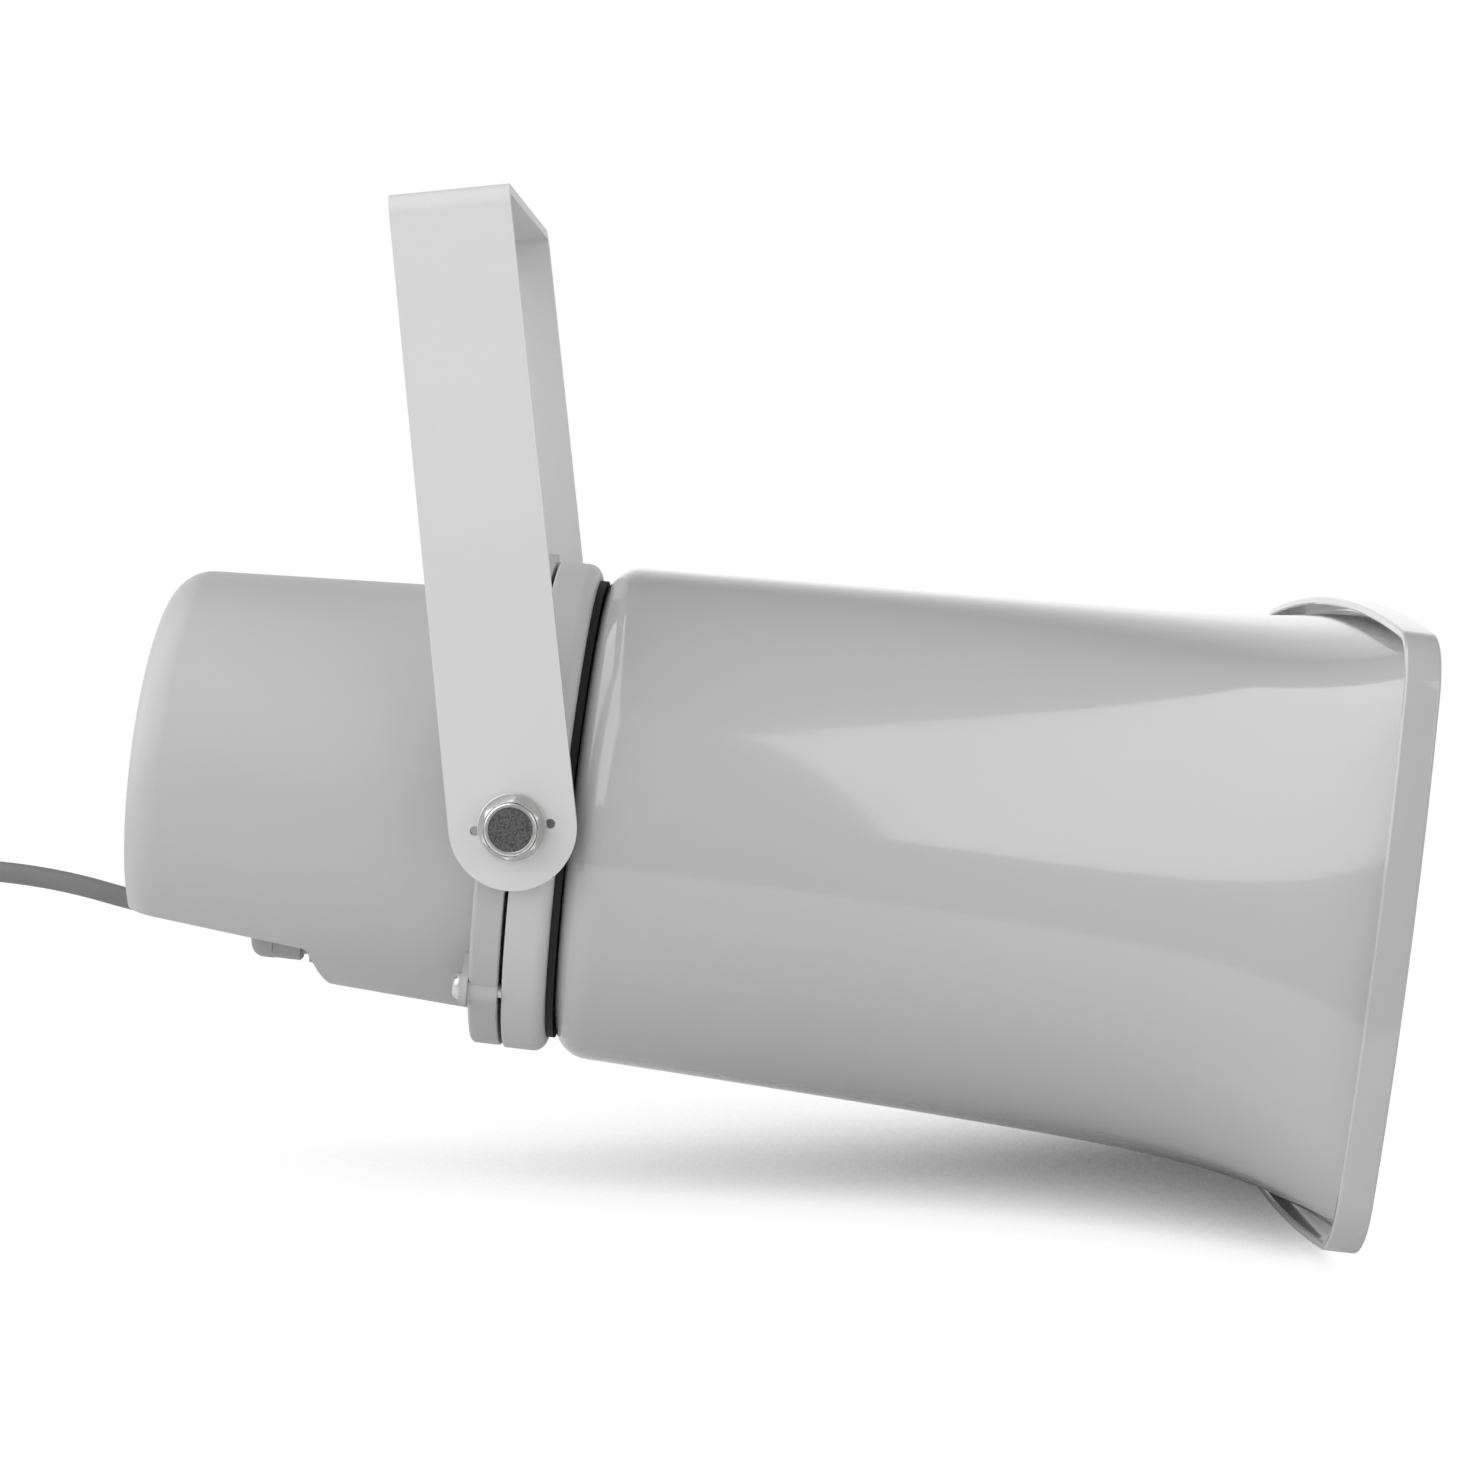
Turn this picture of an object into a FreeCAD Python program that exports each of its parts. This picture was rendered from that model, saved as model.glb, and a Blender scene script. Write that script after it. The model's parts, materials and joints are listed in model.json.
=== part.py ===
# PA horn speaker on a U bracket, in millimetres.
# Row frame: origin at the centre of the bracket plate's outer face, +Z out of that face, +X towards
# the mouth, Y along the tilt axis. The horn is drawn level about its own axis in the horn frame, whose
# origin is on the tilt axis, and is then hung in the bracket with its mouth turned down by REST_TILT.
import FreeCAD
import Part
import os
from math import cos, sin, tan, radians, acos, sqrt, pi

os.makedirs("parts", exist_ok=True)
V = FreeCAD.Vector

# Bracket, one folded steel strap
STRAP_THICK = 2.5
STRAP_WIDTH_TOP = 29.4
STRAP_WIDTH_PIVOT = 31.4
ARM_GAP = 2.8
BRACKET_BEND = 5.0
PIVOT_DROP = 155.7
REST_TILT = 12.26
PLATE_HOLE_R = 4.25
SLOT_WIDTH = 6.5
SLOT_LENGTH = 14.0
SLOT_SPACING = 84.0
PIP_R = 1.2
PIP_OFFSET = 9.3

# Rounds on small turned edges
FINE_ROUND = 0.5
EDGE_ROUND = 1.0
SOFT_ROUND = 2.0

# Clearances
PIVOT_CLEARANCE = 0.05
SCREW_CLEARANCE = 0.05
SEAT_GAP = 0.1
SPIGOT_CLEARANCE = 0.05

# Tilt bolts with their washers and captive threaded bushes
BOLT_R = 4.0
BOLT_HEAD_FLATS = 13.0
BOLT_HEAD_HEIGHT = 5.3
BOLT_HEAD_CHAMFER = 0.7
BOLT_REACH = 14.0
WASHER_R = 8.5
WASHER_THICK = 1.6
BUSH_R = 6.2
BUSH_PAD_R = 8.0
BUSH_SEAL_GAP = 0.7

# Collar in front of the tilt axis and the cover's flange behind it
COLLAR_REAR_X = 0.3
COLLAR_THICK = 10.9
COLLAR_R = 64.7
COLLAR_ROUND = 3.5
COLLAR_WEB = 6.2
COLLAR_RIM = 12.7
SLIT_WIDTH = 1.0
FLANGE_THICK = 7.6
FLANGE_STEP = 0.4
FLANGE_ROUND = 1.2
COVER_SEAL_WIDTH = 3.4
COVER_SEAL_STEP = 0.4

# Gasket between collar and bell
GASKET_THICK = 1.9
GASKET_STEP = 4.0
GASKET_INNER_R = 20.0

# Bell, whose section runs from a circle to a crowned rounded rectangle
BELL_LENGTH = 197.9
BELL_WALL = 2.5
BELL_REAR_WALL = 3.2
BELL_STEP = 0.6
BELL_TAPER = 0.036
BELL_REAR_ROUND = 9.0
SHOULDER_LENGTH = 17.0
FLARE_SIDE_POWER = 2.3
FLARE_TOP_POWER = 10.6
SQUARE_POWER = 3.9
MOUTH_CORNER_R = 16.5
MOUTH_SIDE_TURN = 9.6
MOUTH_TOP_TURN = 6.0
ROUND_TURN = 25.0
BELL_STATIONS = 10
STATION_BIAS = 1.3

# Lip folded back round the mouth
LIP_HALF_WIDTH = 120.9
LIP_HALF_HEIGHT = 78.9
LIP_DEPTH = 8.3
LIP_THICK = 2.0
LIP_FRONT = 2.6
LIP_SIDE_LAND = 1.8
LIP_TOP_LAND = 2.3
LIP_CHAMFER = 0.7

# Screws that hold the bell to the collar
BELL_SCREW_INSET = 17.7
BELL_SCREW_R = 2.5
BELL_SCREW_HEAD_R = 4.4
BELL_SCREW_HEAD = 2.8
BELL_SCREW_LENGTH = 20.0
BELL_BOSS_R = 5.0
BELL_BOSS_HEIGHT = 8.0
BELL_SCREW_COUNT = 4

# Tone tube inside the bell
THROAT_R = 8.0
TUBE_SPIGOT_R = 13.0
TUBE_FLANGE_R = 22.0
TUBE_FLANGE = 3.0
TUBE_REAR_R = 10.5
TUBE_MOUTH_R = 17.5
TUBE_WALL = 2.4
TUBE_END_X = 112.0
SPIDER_LENGTH = 14.0
SPIDER_HUB_R = 5.5
SPIDER_VANE = 2.2
SPIDER_VANES = 3

# Reflector cup round the tone tube
CUP_REAR_X = 44.0
SOUND_GAP = 23.3
CUP_SHOULDER_X = 118.0
CUP_TAPER = 9.0
CUP_NOSE_X = 150.0
CUP_NOSE_TAPER = 8.0
CUP_NOSE_ROUND = 17.0
CUP_SHOULDER_ROUND = 30.0
CUP_WALL = 2.6
CUP_RIM_ROUND = 1.0
CUP_POST_R = 6.0
CUP_SCREW_R = 2.0
CUP_SCREW_HEAD_R = 4.2
CUP_SCREW_HEAD = 2.4
CUP_SCREW_GRIP = 10.0

# Rear cover, a conical pot with a flat recess along its underside
COVER_LENGTH = 99.9
COVER_STEP = 9.0
COVER_DRAFT = 5.0
COVER_REAR_ROUND = 10.0
COVER_WALL = 2.6
RECESS_STEP_X = -51.5
RECESS_RISE = 14.7
RECESS_SLOPE = 5.7
RECESS_STEP_SLOPE = 21.0
RECESS_ROUND = 1.5
CHANNEL_R = 10.5

# Screws that hold the cover to the collar
COVER_SCREW_INSET = 2.5
COVER_SCREW_ANGLES = (0.0, 135.0, 225.0)
COVER_SCREW_R = 2.0
COVER_SCREW_HEAD_R = 3.5
COVER_SCREW_HEAD = 2.1
COVER_SCREW_ROUND = 1.5
COVER_SCREW_GRIP = 7.5
SLEEVE_R = 4.0
LUG_R = 5.2
LUG_THICK = 1.8
DRIVE_SLOT = 0.9

# Driver behind the collar's web
HEAD_SPACE = 10.0
HEAD_THICK = 9.0
HEAD_LAND = 12.0
HEAD_RECESS_DRAFT = 3.0
HEAD_RECESS = 3.4
THROAT_ENTRY_R = 10.0
PLUG_R = 5.2
PLUG_LENGTH = 8.5
PLUG_TIP_R = 1.2
PLUG_FIN = 1.2
PLUG_FIN_SHORT = 2.0
DIAPHRAGM_GAP = 1.0
DIAPHRAGM_THICK = 0.6
DOME_HEIGHT = 2.2
COIL_SPACE = 6.0
COIL_THICK = 0.7
COIL_LENGTH = 9.0
TOP_PLATE_STEP = 2.0
TOP_PLATE_THICK = 5.0
GAP_WIDTH = 1.5
MAGNET_STEP = 1.0
MAGNET_RING = 16.0
MAGNET_THICK = 15.0
YOKE_STEP = 5.0
YOKE_THICK = 5.5
DRIVER_SCREW_INSET = 7.5
DRIVER_SCREW_R = 1.5
DRIVER_SCREW_HEAD_R = 2.6
DRIVER_SCREW_HEAD = 1.8
DRIVER_SCREW_COUNT = 6
DRIVER_SCREW_ANGLE = 30.0
FIXING_INSET = 6.0
FIXING_R = 2.0
FIXING_HEAD_R = 3.8
FIXING_HEAD = 2.2
FIXING_DEPTH = 7.0
FIXING_COUNT = 3
FIXING_ANGLE = 60.0
POLE_STEP = 0.5

# Line transformer behind the yoke
CORE_WIDTH = 42.0
CORE_HEIGHT = 35.0
CORE_DEPTH = 14.0
CORE_WINDOW_WIDTH = 7.0
CORE_WINDOW_HEIGHT = 21.0
WINDING_DEPTH = 25.0
WINDING_ROUND = 2.0
FRAME_PLATE = 1.2
FRAME_FOOT = 8.2
FRAME_STAND = 9.0
FRAME_SCREW_R = 1.5
FRAME_SCREW_HEAD_R = 2.8
FRAME_SCREW_HEAD = 2.0
FRAME_SCREW_DEPTH = 4.0

# Power selector in the rear face
SELECTOR_BODY_R = 9.0
SELECTOR_BODY_DEPTH = 11.0
SELECTOR_BODY_WALL = 2.0
SELECTOR_DISH_R = 10.0
SELECTOR_DISH = 2.2
KNOB_R = 7.0
KNOB_HEIGHT = 1.8
KNOB_STEM_R = 3.0
KNOB_SLOT = 1.4
KNOB_SLOT_DEPTH = 1.0
KNOB_SLOT_MARGIN = 1.0
STEM_CLEARANCE = 0.05

# Cable gland in the step of the recess
GLAND_NUT_R = 8.0
GLAND_NUT_FLATS = 15.0
GLAND_NUT_LENGTH = 13.4
GLAND_NUT_ROUND = 3.2
GLAND_THREAD_R = 6.0
GLAND_SLIT = 2.5
GLAND_FLANGE = 2.5
GLAND_BORE_R = 3.4
GLAND_BOSS_R = 10.5
BOSS_SHARE = 0.75
GLAND_NUT_BACK = 4.0
GLAND_NUT_BORE_R = 3.15
GLAND_GRIP_SHARE = 0.45
GLAND_SEAL_R = 4.6
GLAND_SEAL_LENGTH = 5.0
GLAND_TAIL = 8.0
LOCKNUT_THICK = 2.8
LOCKNUT_FLATS = 13.5
TAIL_INSIDE = 3.0

# Cable: free part, coil and bare end, with points in the row frame chosen by hand
CABLE_R = 2.75
ARC_SHARE = 0.45
CABLE_ROUTE = (
    (-103.0, -173.5),
    (-129.0, -163.0),
    (-160.0, -157.0),
    (-190.0, -165.0),
    (-211.0, -189.0),
    (-219.0, -219.0),
    (-228.0, -247.0),
)
COIL_LEAD_X = -252.0
COIL_CENTRE_X = -274.0
COIL_CENTRE_Y = 32.75
COIL_MIDDLE_R = 30.0
COIL_COLUMNS = 2
COIL_LAYERS = 2
COIL_CORNER = 2.2
COIL_RUN_IN = 4.0
TIE_WIDTH = 4.0
TIE_THICK = 1.0
TAIL_LENGTH = 28.0
CORE_WIRE_R = 1.0
CORE_WIRE_LENGTH = 20.0
CORE_TIP_R = 0.6
CORE_TIP_LENGTH = 8.0
CORE_SPREAD = 12.0
CORE_APART = 1.1

# Radii and heights that follow from the collar's radius
BRACKET_HALF_WIDTH = COLLAR_R + ARM_GAP + STRAP_THICK
COLLAR_RECESS_R = COLLAR_R - COLLAR_RIM
FLANGE_R = COLLAR_R - FLANGE_STEP
COVER_SEAL_INNER_R = COLLAR_RECESS_R + COVER_SEAL_STEP
COVER_SEAL_R = COVER_SEAL_INNER_R + COVER_SEAL_WIDTH
BUSH_INNER_Y = COVER_SEAL_R + BUSH_SEAL_GAP
GASKET_R = COLLAR_R - GASKET_STEP
BELL_R = COLLAR_R + BELL_STEP
BELL_SCREW_CIRCLE = COLLAR_R - BELL_SCREW_INSET
COVER_FRONT_R = COLLAR_R - COVER_STEP
COVER_REAR_R = COVER_FRONT_R - COVER_DRAFT
COVER_SCREW_CIRCLE = COLLAR_R - COVER_SCREW_INSET
RECESS_STEP_Z = RECESS_RISE - COVER_FRONT_R
GLAND_Z = RECESS_STEP_Z
CUP_REAR_R = BELL_R - SOUND_GAP
CUP_SHOULDER_R = CUP_REAR_R - CUP_TAPER
CUP_NOSE_R = CUP_SHOULDER_R - CUP_NOSE_TAPER
HEAD_R = COLLAR_RECESS_R - HEAD_SPACE
HEAD_RECESS_R = HEAD_R - HEAD_LAND
HEAD_RECESS_FLOOR_R = HEAD_RECESS_R - HEAD_RECESS_DRAFT
DIAPHRAGM_R = HEAD_RECESS_R - DIAPHRAGM_GAP
TOP_PLATE_R = HEAD_R - TOP_PLATE_STEP
MAGNET_R = HEAD_R - MAGNET_STEP
MAGNET_INNER_R = MAGNET_R - MAGNET_RING
COIL_R = MAGNET_INNER_R - COIL_SPACE
YOKE_R = HEAD_R - YOKE_STEP
DRIVER_SCREW_CIRCLE = HEAD_R - DRIVER_SCREW_INSET
FIXING_CIRCLE = HEAD_R - FIXING_INSET

# Places along the horn that follow from the sizes above
COLLAR_FRONT_X = COLLAR_REAR_X + COLLAR_THICK
WEB_REAR_X = COLLAR_FRONT_X - COLLAR_WEB
BELL_REAR_X = COLLAR_FRONT_X + GASKET_THICK
MOUTH_X = BELL_REAR_X + BELL_LENGTH
LOFT_X = BELL_REAR_X + SHOULDER_LENGTH
TAPER_X = BELL_REAR_X + BELL_REAR_ROUND
BELL_END_R = BELL_R + BELL_TAPER * (MOUTH_X - TAPER_X)
FLARE_SIDE = LIP_HALF_WIDTH - LIP_SIDE_LAND - BELL_END_R
FLARE_TOP = LIP_HALF_HEIGHT - LIP_TOP_LAND - BELL_END_R
BELL_WALL_X = BELL_REAR_X + BELL_REAR_WALL
FLANGE_FRONT_X = COLLAR_REAR_X - SLIT_WIDTH
FLANGE_REAR_X = FLANGE_FRONT_X - FLANGE_THICK
COVER_REAR_X = -COVER_LENGTH
ARM_INNER_Y = BRACKET_HALF_WIDTH - STRAP_THICK
WASHER_Y = BRACKET_HALF_WIDTH + SEAT_GAP
HEAD_Y = WASHER_Y + WASHER_THICK
HEAD_REAR_X = WEB_REAR_X - HEAD_THICK
TOP_PLATE_REAR_X = HEAD_REAR_X - TOP_PLATE_THICK
MAGNET_REAR_X = TOP_PLATE_REAR_X - MAGNET_THICK
YOKE_REAR_X = MAGNET_REAR_X - YOKE_THICK
FRAME_X = YOKE_REAR_X - FRAME_STAND
FRAME_SCREW_Y = CORE_WIDTH / 2 + FRAME_PLATE + FRAME_SCREW_HEAD_R + SEAT_GAP
NUT_FRONT_X = RECESS_STEP_X - GLAND_FLANGE - GLAND_SLIT
NUT_REAR_X = NUT_FRONT_X - GLAND_NUT_LENGTH
GLAND_REAR_X = NUT_REAR_X + GLAND_NUT_BACK


def rounded_outline(corners):
    """Closed wire in the XZ plane through (x, z, round) corners, each corner cut by a tangent arc."""
    count = len(corners)
    spans = []
    for i in range(count):
        here = V(corners[i][0], 0, corners[i][1])
        before = V(corners[i - 1][0], 0, corners[i - 1][1]) - here
        after = V(corners[(i + 1) % count][0], 0, corners[(i + 1) % count][1]) - here
        radius = corners[i][2] if len(corners[i]) > 2 else 0
        if radius == 0:
            spans.append((here, None, here))
            continue
        before.normalize()
        after.normalize()
        half = acos(max(-1.0, min(1.0, before.dot(after)))) / 2
        middle = before + after
        middle.normalize()
        reach = radius / tan(half)
        arc_top = here + middle * (radius / sin(half) - radius)
        spans.append((here + before * reach, arc_top, here + after * reach))
    edges = []
    for i in range(count):
        start, top, end = spans[i]
        following = spans[(i + 1) % count][0]
        if top is not None:
            edges.append(Part.Arc(start, top, end).toShape())
        if end.distanceToPoint(following) > 1e-6:
            edges.append(Part.makeLine(end, following))
    return Part.Wire(edges)


def turned(corners):
    """Solid of revolution about the horn's axis from (x, radius, round) corners."""
    face = Part.Face(rounded_outline(corners))
    return face.revolve(V(0, 0, 0), V(1, 0, 0), 360)


def side_slab(corners, half_width):
    """Prism across Y from an outline in the XZ plane."""
    face = Part.Face(rounded_outline(corners))
    face.translate(V(0, -half_width, 0))
    return face.extrude(V(0, 2 * half_width, 0))


def rod_x(x_start, x_end, radius, y=0.0, z=0.0):
    return Part.makeCylinder(radius, x_end - x_start, V(x_start, y, z), V(1, 0, 0))


def rod_y(y_start, y_end, radius, x=0.0, z=0.0):
    return Part.makeCylinder(radius, y_end - y_start, V(x, y_start, z), V(0, 1, 0))


def at_angles(shape, radius, angles):
    """Copies of a shape that lies on the horn's axis, at a radius from it and turned from the top."""
    copies = []
    for angle in angles:
        copy = shape.copy()
        copy.translate(V(0, 0, radius))
        copy.rotate(V(0, 0, 0), V(1, 0, 0), angle)
        copies.append(copy)
    return copies


def on_circle(shape, radius, count, first_angle=0.0):
    return at_angles(shape, radius, [first_angle + 360.0 * i / count for i in range(count)])


def hexagon_x(x_start, x_end, flats, y=0.0, z=0.0):
    corner = flats / sqrt(3)
    turns = [radians(60 * i) for i in range(7)]
    points = [V(x_start, y + corner * cos(turn), z + corner * sin(turn)) for turn in turns]
    return Part.Face(Part.makePolygon(points)).extrude(V(x_end - x_start, 0, 0))


def hang_in_bracket(shape):
    """Moves a shape from the horn frame to the row frame."""
    hung = shape.copy()
    hung.rotate(V(0, 0, 0), V(0, 1, 0), REST_TILT)
    hung.translate(V(0, 0, -PIVOT_DROP))
    return hung


def export(name, shape):
    solids = shape.Solids
    if not solids or not shape.isValid():
        print("CHECK", name, len(solids), shape.isValid())
    kept = solids[0] if len(solids) == 1 else Part.makeCompound(solids)
    kept.exportStep("parts/%s.step" % name)
    print("%-22s %2d solid  %9.1f mm3" % (name, len(solids), kept.Volume))


# Bracket

def bracket():
    outer_bottom = -PIVOT_DROP - STRAP_WIDTH_PIVOT
    outer = Part.makeBox(STRAP_WIDTH_PIVOT, 2 * BRACKET_HALF_WIDTH, -outer_bottom)
    outer.translate(V(-STRAP_WIDTH_PIVOT / 2, -BRACKET_HALF_WIDTH, outer_bottom))
    top_edges = [e for e in outer.Edges if abs(e.CenterOfMass.z) < 1e-6 and abs(e.CenterOfMass.x) < 1e-6]
    outer = outer.makeFillet(BRACKET_BEND, top_edges)
    inner = Part.makeBox(STRAP_WIDTH_PIVOT, 2 * ARM_INNER_Y, -outer_bottom - STRAP_THICK)
    inner.translate(V(-STRAP_WIDTH_PIVOT / 2, -ARM_INNER_Y, outer_bottom))
    roof = -STRAP_THICK
    roof_edges = [e for e in inner.Edges if abs(e.CenterOfMass.z - roof) < 1e-6]
    roof_edges = [e for e in roof_edges if abs(e.CenterOfMass.x) < 1e-6]
    inner = inner.makeFillet(BRACKET_BEND - STRAP_THICK, roof_edges)
    end_r = STRAP_WIDTH_PIVOT / 2
    side = side_slab([
        (-STRAP_WIDTH_TOP / 2, 0.0),
        (STRAP_WIDTH_TOP / 2, 0.0),
        (end_r, -PIVOT_DROP),
        (-end_r, -PIVOT_DROP),
    ], BRACKET_HALF_WIDTH).fuse(rod_y(-BRACKET_HALF_WIDTH, BRACKET_HALF_WIDTH, end_r, 0.0, -PIVOT_DROP))
    strap = outer.cut(inner).common(side.removeSplitter())
    bore = rod_y(-BRACKET_HALF_WIDTH, BRACKET_HALF_WIDTH, BOLT_R + PIVOT_CLEARANCE, 0.0, -PIVOT_DROP)
    strap = strap.cut(bore)
    for side_x in (-PIP_OFFSET, PIP_OFFSET):
        strap = strap.cut(rod_y(-BRACKET_HALF_WIDTH, BRACKET_HALF_WIDTH, PIP_R, side_x, -PIVOT_DROP))
    strap = strap.cut(Part.makeCylinder(PLATE_HOLE_R, STRAP_THICK, V(0, 0, -STRAP_THICK)))
    for side_y in (-SLOT_SPACING / 2, SLOT_SPACING / 2):
        strap = strap.cut(plate_slot(side_y))
    return strap


def plate_slot(middle_y):
    """Slot through the plate, round at both ends, with its length along Y."""
    straight = SLOT_LENGTH - SLOT_WIDTH
    slot = Part.makeBox(SLOT_WIDTH, straight, STRAP_THICK)
    slot.translate(V(-SLOT_WIDTH / 2, middle_y - straight / 2, -STRAP_THICK))
    for end_y in (middle_y - straight / 2, middle_y + straight / 2):
        slot = slot.fuse(Part.makeCylinder(SLOT_WIDTH / 2, STRAP_THICK, V(0, end_y, -STRAP_THICK)))
    return slot


# Tilt bolts, drawn on the far side at +Y and turned over for the near side

def pivot_bolt():
    head = hexagon_x(0, BOLT_HEAD_HEIGHT, BOLT_HEAD_FLATS)
    corner = BOLT_HEAD_FLATS / sqrt(3)
    crown = turned([
        (0, 0),
        (0, corner),
        (BOLT_HEAD_HEIGHT - BOLT_HEAD_CHAMFER, corner),
        (BOLT_HEAD_HEIGHT, BOLT_HEAD_FLATS / 2 - BOLT_HEAD_CHAMFER),
        (BOLT_HEAD_HEIGHT, 0),
    ])
    bolt = head.common(crown).fuse(rod_x(-BOLT_REACH, 0, BOLT_R))
    bolt.rotate(V(0, 0, 0), V(0, 0, 1), 90)
    bolt.translate(V(0, HEAD_Y, 0))
    return bolt


def pivot_washer():
    return rod_y(WASHER_Y, HEAD_Y, WASHER_R).cut(rod_y(WASHER_Y, HEAD_Y, BOLT_R + SCREW_CLEARANCE))


def pivot_bush():
    """Captive threaded bush, held between the collar and the cover's flange."""
    pad_y = COLLAR_R + SEAT_GAP
    body = rod_y(BUSH_INNER_Y, pad_y, BUSH_R)
    pad = rod_y(pad_y, ARM_INNER_Y - SEAT_GAP, BUSH_PAD_R)
    bore = rod_y(BUSH_INNER_Y, ARM_INNER_Y, BOLT_R + SCREW_CLEARANCE)
    return body.fuse(pad).cut(bore).removeSplitter()


def near_side(shape):
    copy = shape.copy()
    copy.rotate(V(0, 0, 0), V(0, 0, 1), 180)
    return copy


def bush_pockets():
    """Holes across the collar and the flange for the two bushes."""
    reach = COLLAR_R + BUSH_PAD_R
    pocket = rod_y(BUSH_INNER_Y - SEAT_GAP, reach, BUSH_R + SPIGOT_CLEARANCE)
    return pocket.fuse(near_side(pocket))


# Collar, gasket and seal

def cover_screw_hole(x_start, x_end):
    hole = rod_x(x_start, x_end, COVER_SCREW_R + SCREW_CLEARANCE)
    return at_angles(hole, COVER_SCREW_CIRCLE, COVER_SCREW_ANGLES)


def bell_screw_hole(x_start, x_end):
    hole = rod_x(x_start, x_end, BELL_SCREW_R + SCREW_CLEARANCE)
    return on_circle(hole, BELL_SCREW_CIRCLE, BELL_SCREW_COUNT)


def mounting_collar():
    bore_r = TUBE_SPIGOT_R + SPIGOT_CLEARANCE
    ring = turned([
        (COLLAR_REAR_X, COLLAR_RECESS_R),
        (COLLAR_REAR_X, COLLAR_R, FINE_ROUND),
        (COLLAR_FRONT_X, COLLAR_R, COLLAR_ROUND),
        (COLLAR_FRONT_X, bore_r),
        (WEB_REAR_X, bore_r),
        (WEB_REAR_X, COLLAR_RECESS_R),
    ])
    ring = ring.cut(bush_pockets())
    for hole in cover_screw_hole(COLLAR_REAR_X, COLLAR_REAR_X + COVER_SCREW_GRIP + EDGE_ROUND):
        ring = ring.cut(hole)
    for hole in bell_screw_hole(WEB_REAR_X, COLLAR_FRONT_X):
        ring = ring.cut(hole)
    for fixing in fixing_places(fixing_screw(SCREW_CLEARANCE)):
        ring = ring.cut(fixing)
    return ring


def gasket():
    ring = rod_x(COLLAR_FRONT_X, BELL_REAR_X, GASKET_R)
    ring = ring.cut(rod_x(COLLAR_FRONT_X, BELL_REAR_X, GASKET_INNER_R))
    for hole in bell_screw_hole(COLLAR_FRONT_X, BELL_REAR_X):
        ring = ring.cut(hole)
    return ring


def cover_seal():
    ring = rod_x(FLANGE_FRONT_X, COLLAR_REAR_X, COVER_SEAL_R)
    return ring.cut(rod_x(FLANGE_FRONT_X, COLLAR_REAR_X, COVER_SEAL_INNER_R))


# Bell

def mouth_share(x):
    """0 at the bell's shoulder and 1 at the mouth."""
    return (x - LOFT_X) / (MOUTH_X - LOFT_X)


def bell_section(x, inset):
    """Closed wire of eight tangent arcs: two sides, top, bottom and four corners."""
    share = mouth_share(x)
    square = share ** SQUARE_POWER
    base = BELL_R + BELL_TAPER * (x - TAPER_X)
    half_width = base + FLARE_SIDE * share ** FLARE_SIDE_POWER - inset
    half_height = base + FLARE_TOP * share ** FLARE_TOP_POWER - inset
    full_height = half_height + inset
    corner = (1 - square) * full_height + square * MOUTH_CORNER_R - inset
    side_turn = radians(ROUND_TURN + (MOUTH_SIDE_TURN - ROUND_TURN) * square)
    top_turn = radians(ROUND_TURN + (MOUTH_TOP_TURN - ROUND_TURN) * square)
    return arc_loop(x, half_width, half_height, corner, side_turn, top_turn)


def arc_loop(x, half_width, half_height, corner, side_turn, top_turn):
    """The side arc turns by side_turn each way from the middle and the top arc by top_turn."""
    a1, a2 = 1 - cos(side_turn), sin(top_turn)
    b1, b2 = sin(side_turn), 1 - cos(top_turn)
    wide, high = half_width - corner, half_height - corner
    whole = a1 * b2 - a2 * b1
    side_core = (wide * b2 - a2 * high) / whole
    top_core = (a1 * high - b1 * wide) / whole
    side_r, top_r = side_core + corner, top_core + corner
    side_y, top_z = half_width - side_r, half_height - top_r
    corner_y = side_y + side_core * cos(side_turn)
    corner_z = side_core * sin(side_turn)
    middle_turn = (side_turn + pi / 2 - top_turn) / 2

    def spot(centre_y, centre_z, radius, turn):
        return centre_y + radius * cos(turn), centre_z + radius * sin(turn)

    side_end = spot(side_y, 0, side_r, side_turn)
    corner_top = spot(corner_y, corner_z, corner, middle_turn)
    top_end = spot(0, top_z, top_r, pi / 2 - top_turn)
    quarter = [side_end, corner_top, top_end]

    def at(point, flip_y=1, flip_z=1):
        return V(x, flip_y * point[0], flip_z * point[1])

    s, c, t = quarter
    side, top = (half_width, 0.0), (0.0, half_height)
    triples = [
        (at(s, 1, -1), at(side), at(s)),
        (at(s), at(c), at(t)),
        (at(t), at(top), at(t, -1)),
        (at(t, -1), at(c, -1), at(s, -1)),
        (at(s, -1), at(side, -1), at(s, -1, -1)),
        (at(s, -1, -1), at(c, -1, -1), at(t, -1, -1)),
        (at(t, -1, -1), at(top, 1, -1), at(t, 1, -1)),
        (at(t, 1, -1), at(c, 1, -1), at(s, 1, -1)),
    ]
    return Part.Wire([Part.Arc(*three).toShape() for three in triples])


def bell_core(inset, rear_x):
    """The bell's volume from its rear wall to the mouth, drawn in by an inset."""
    rear_round = BELL_REAR_ROUND - inset
    end_r = BELL_R + BELL_TAPER * (LOFT_X - TAPER_X) - inset
    rear_r = BELL_R + BELL_TAPER * (rear_x - TAPER_X) - inset
    shoulder = turned([(rear_x, 0), (rear_x, rear_r, rear_round), (LOFT_X, end_r), (LOFT_X, 0)])
    stations = []
    for i in range(BELL_STATIONS + 1):
        share = 1 - (1 - i / BELL_STATIONS) ** STATION_BIAS
        stations.append(LOFT_X + share * (MOUTH_X - LOFT_X))
    flare = Part.makeLoft([bell_section(x, inset) for x in stations], True)
    return shoulder.fuse(flare)


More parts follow.
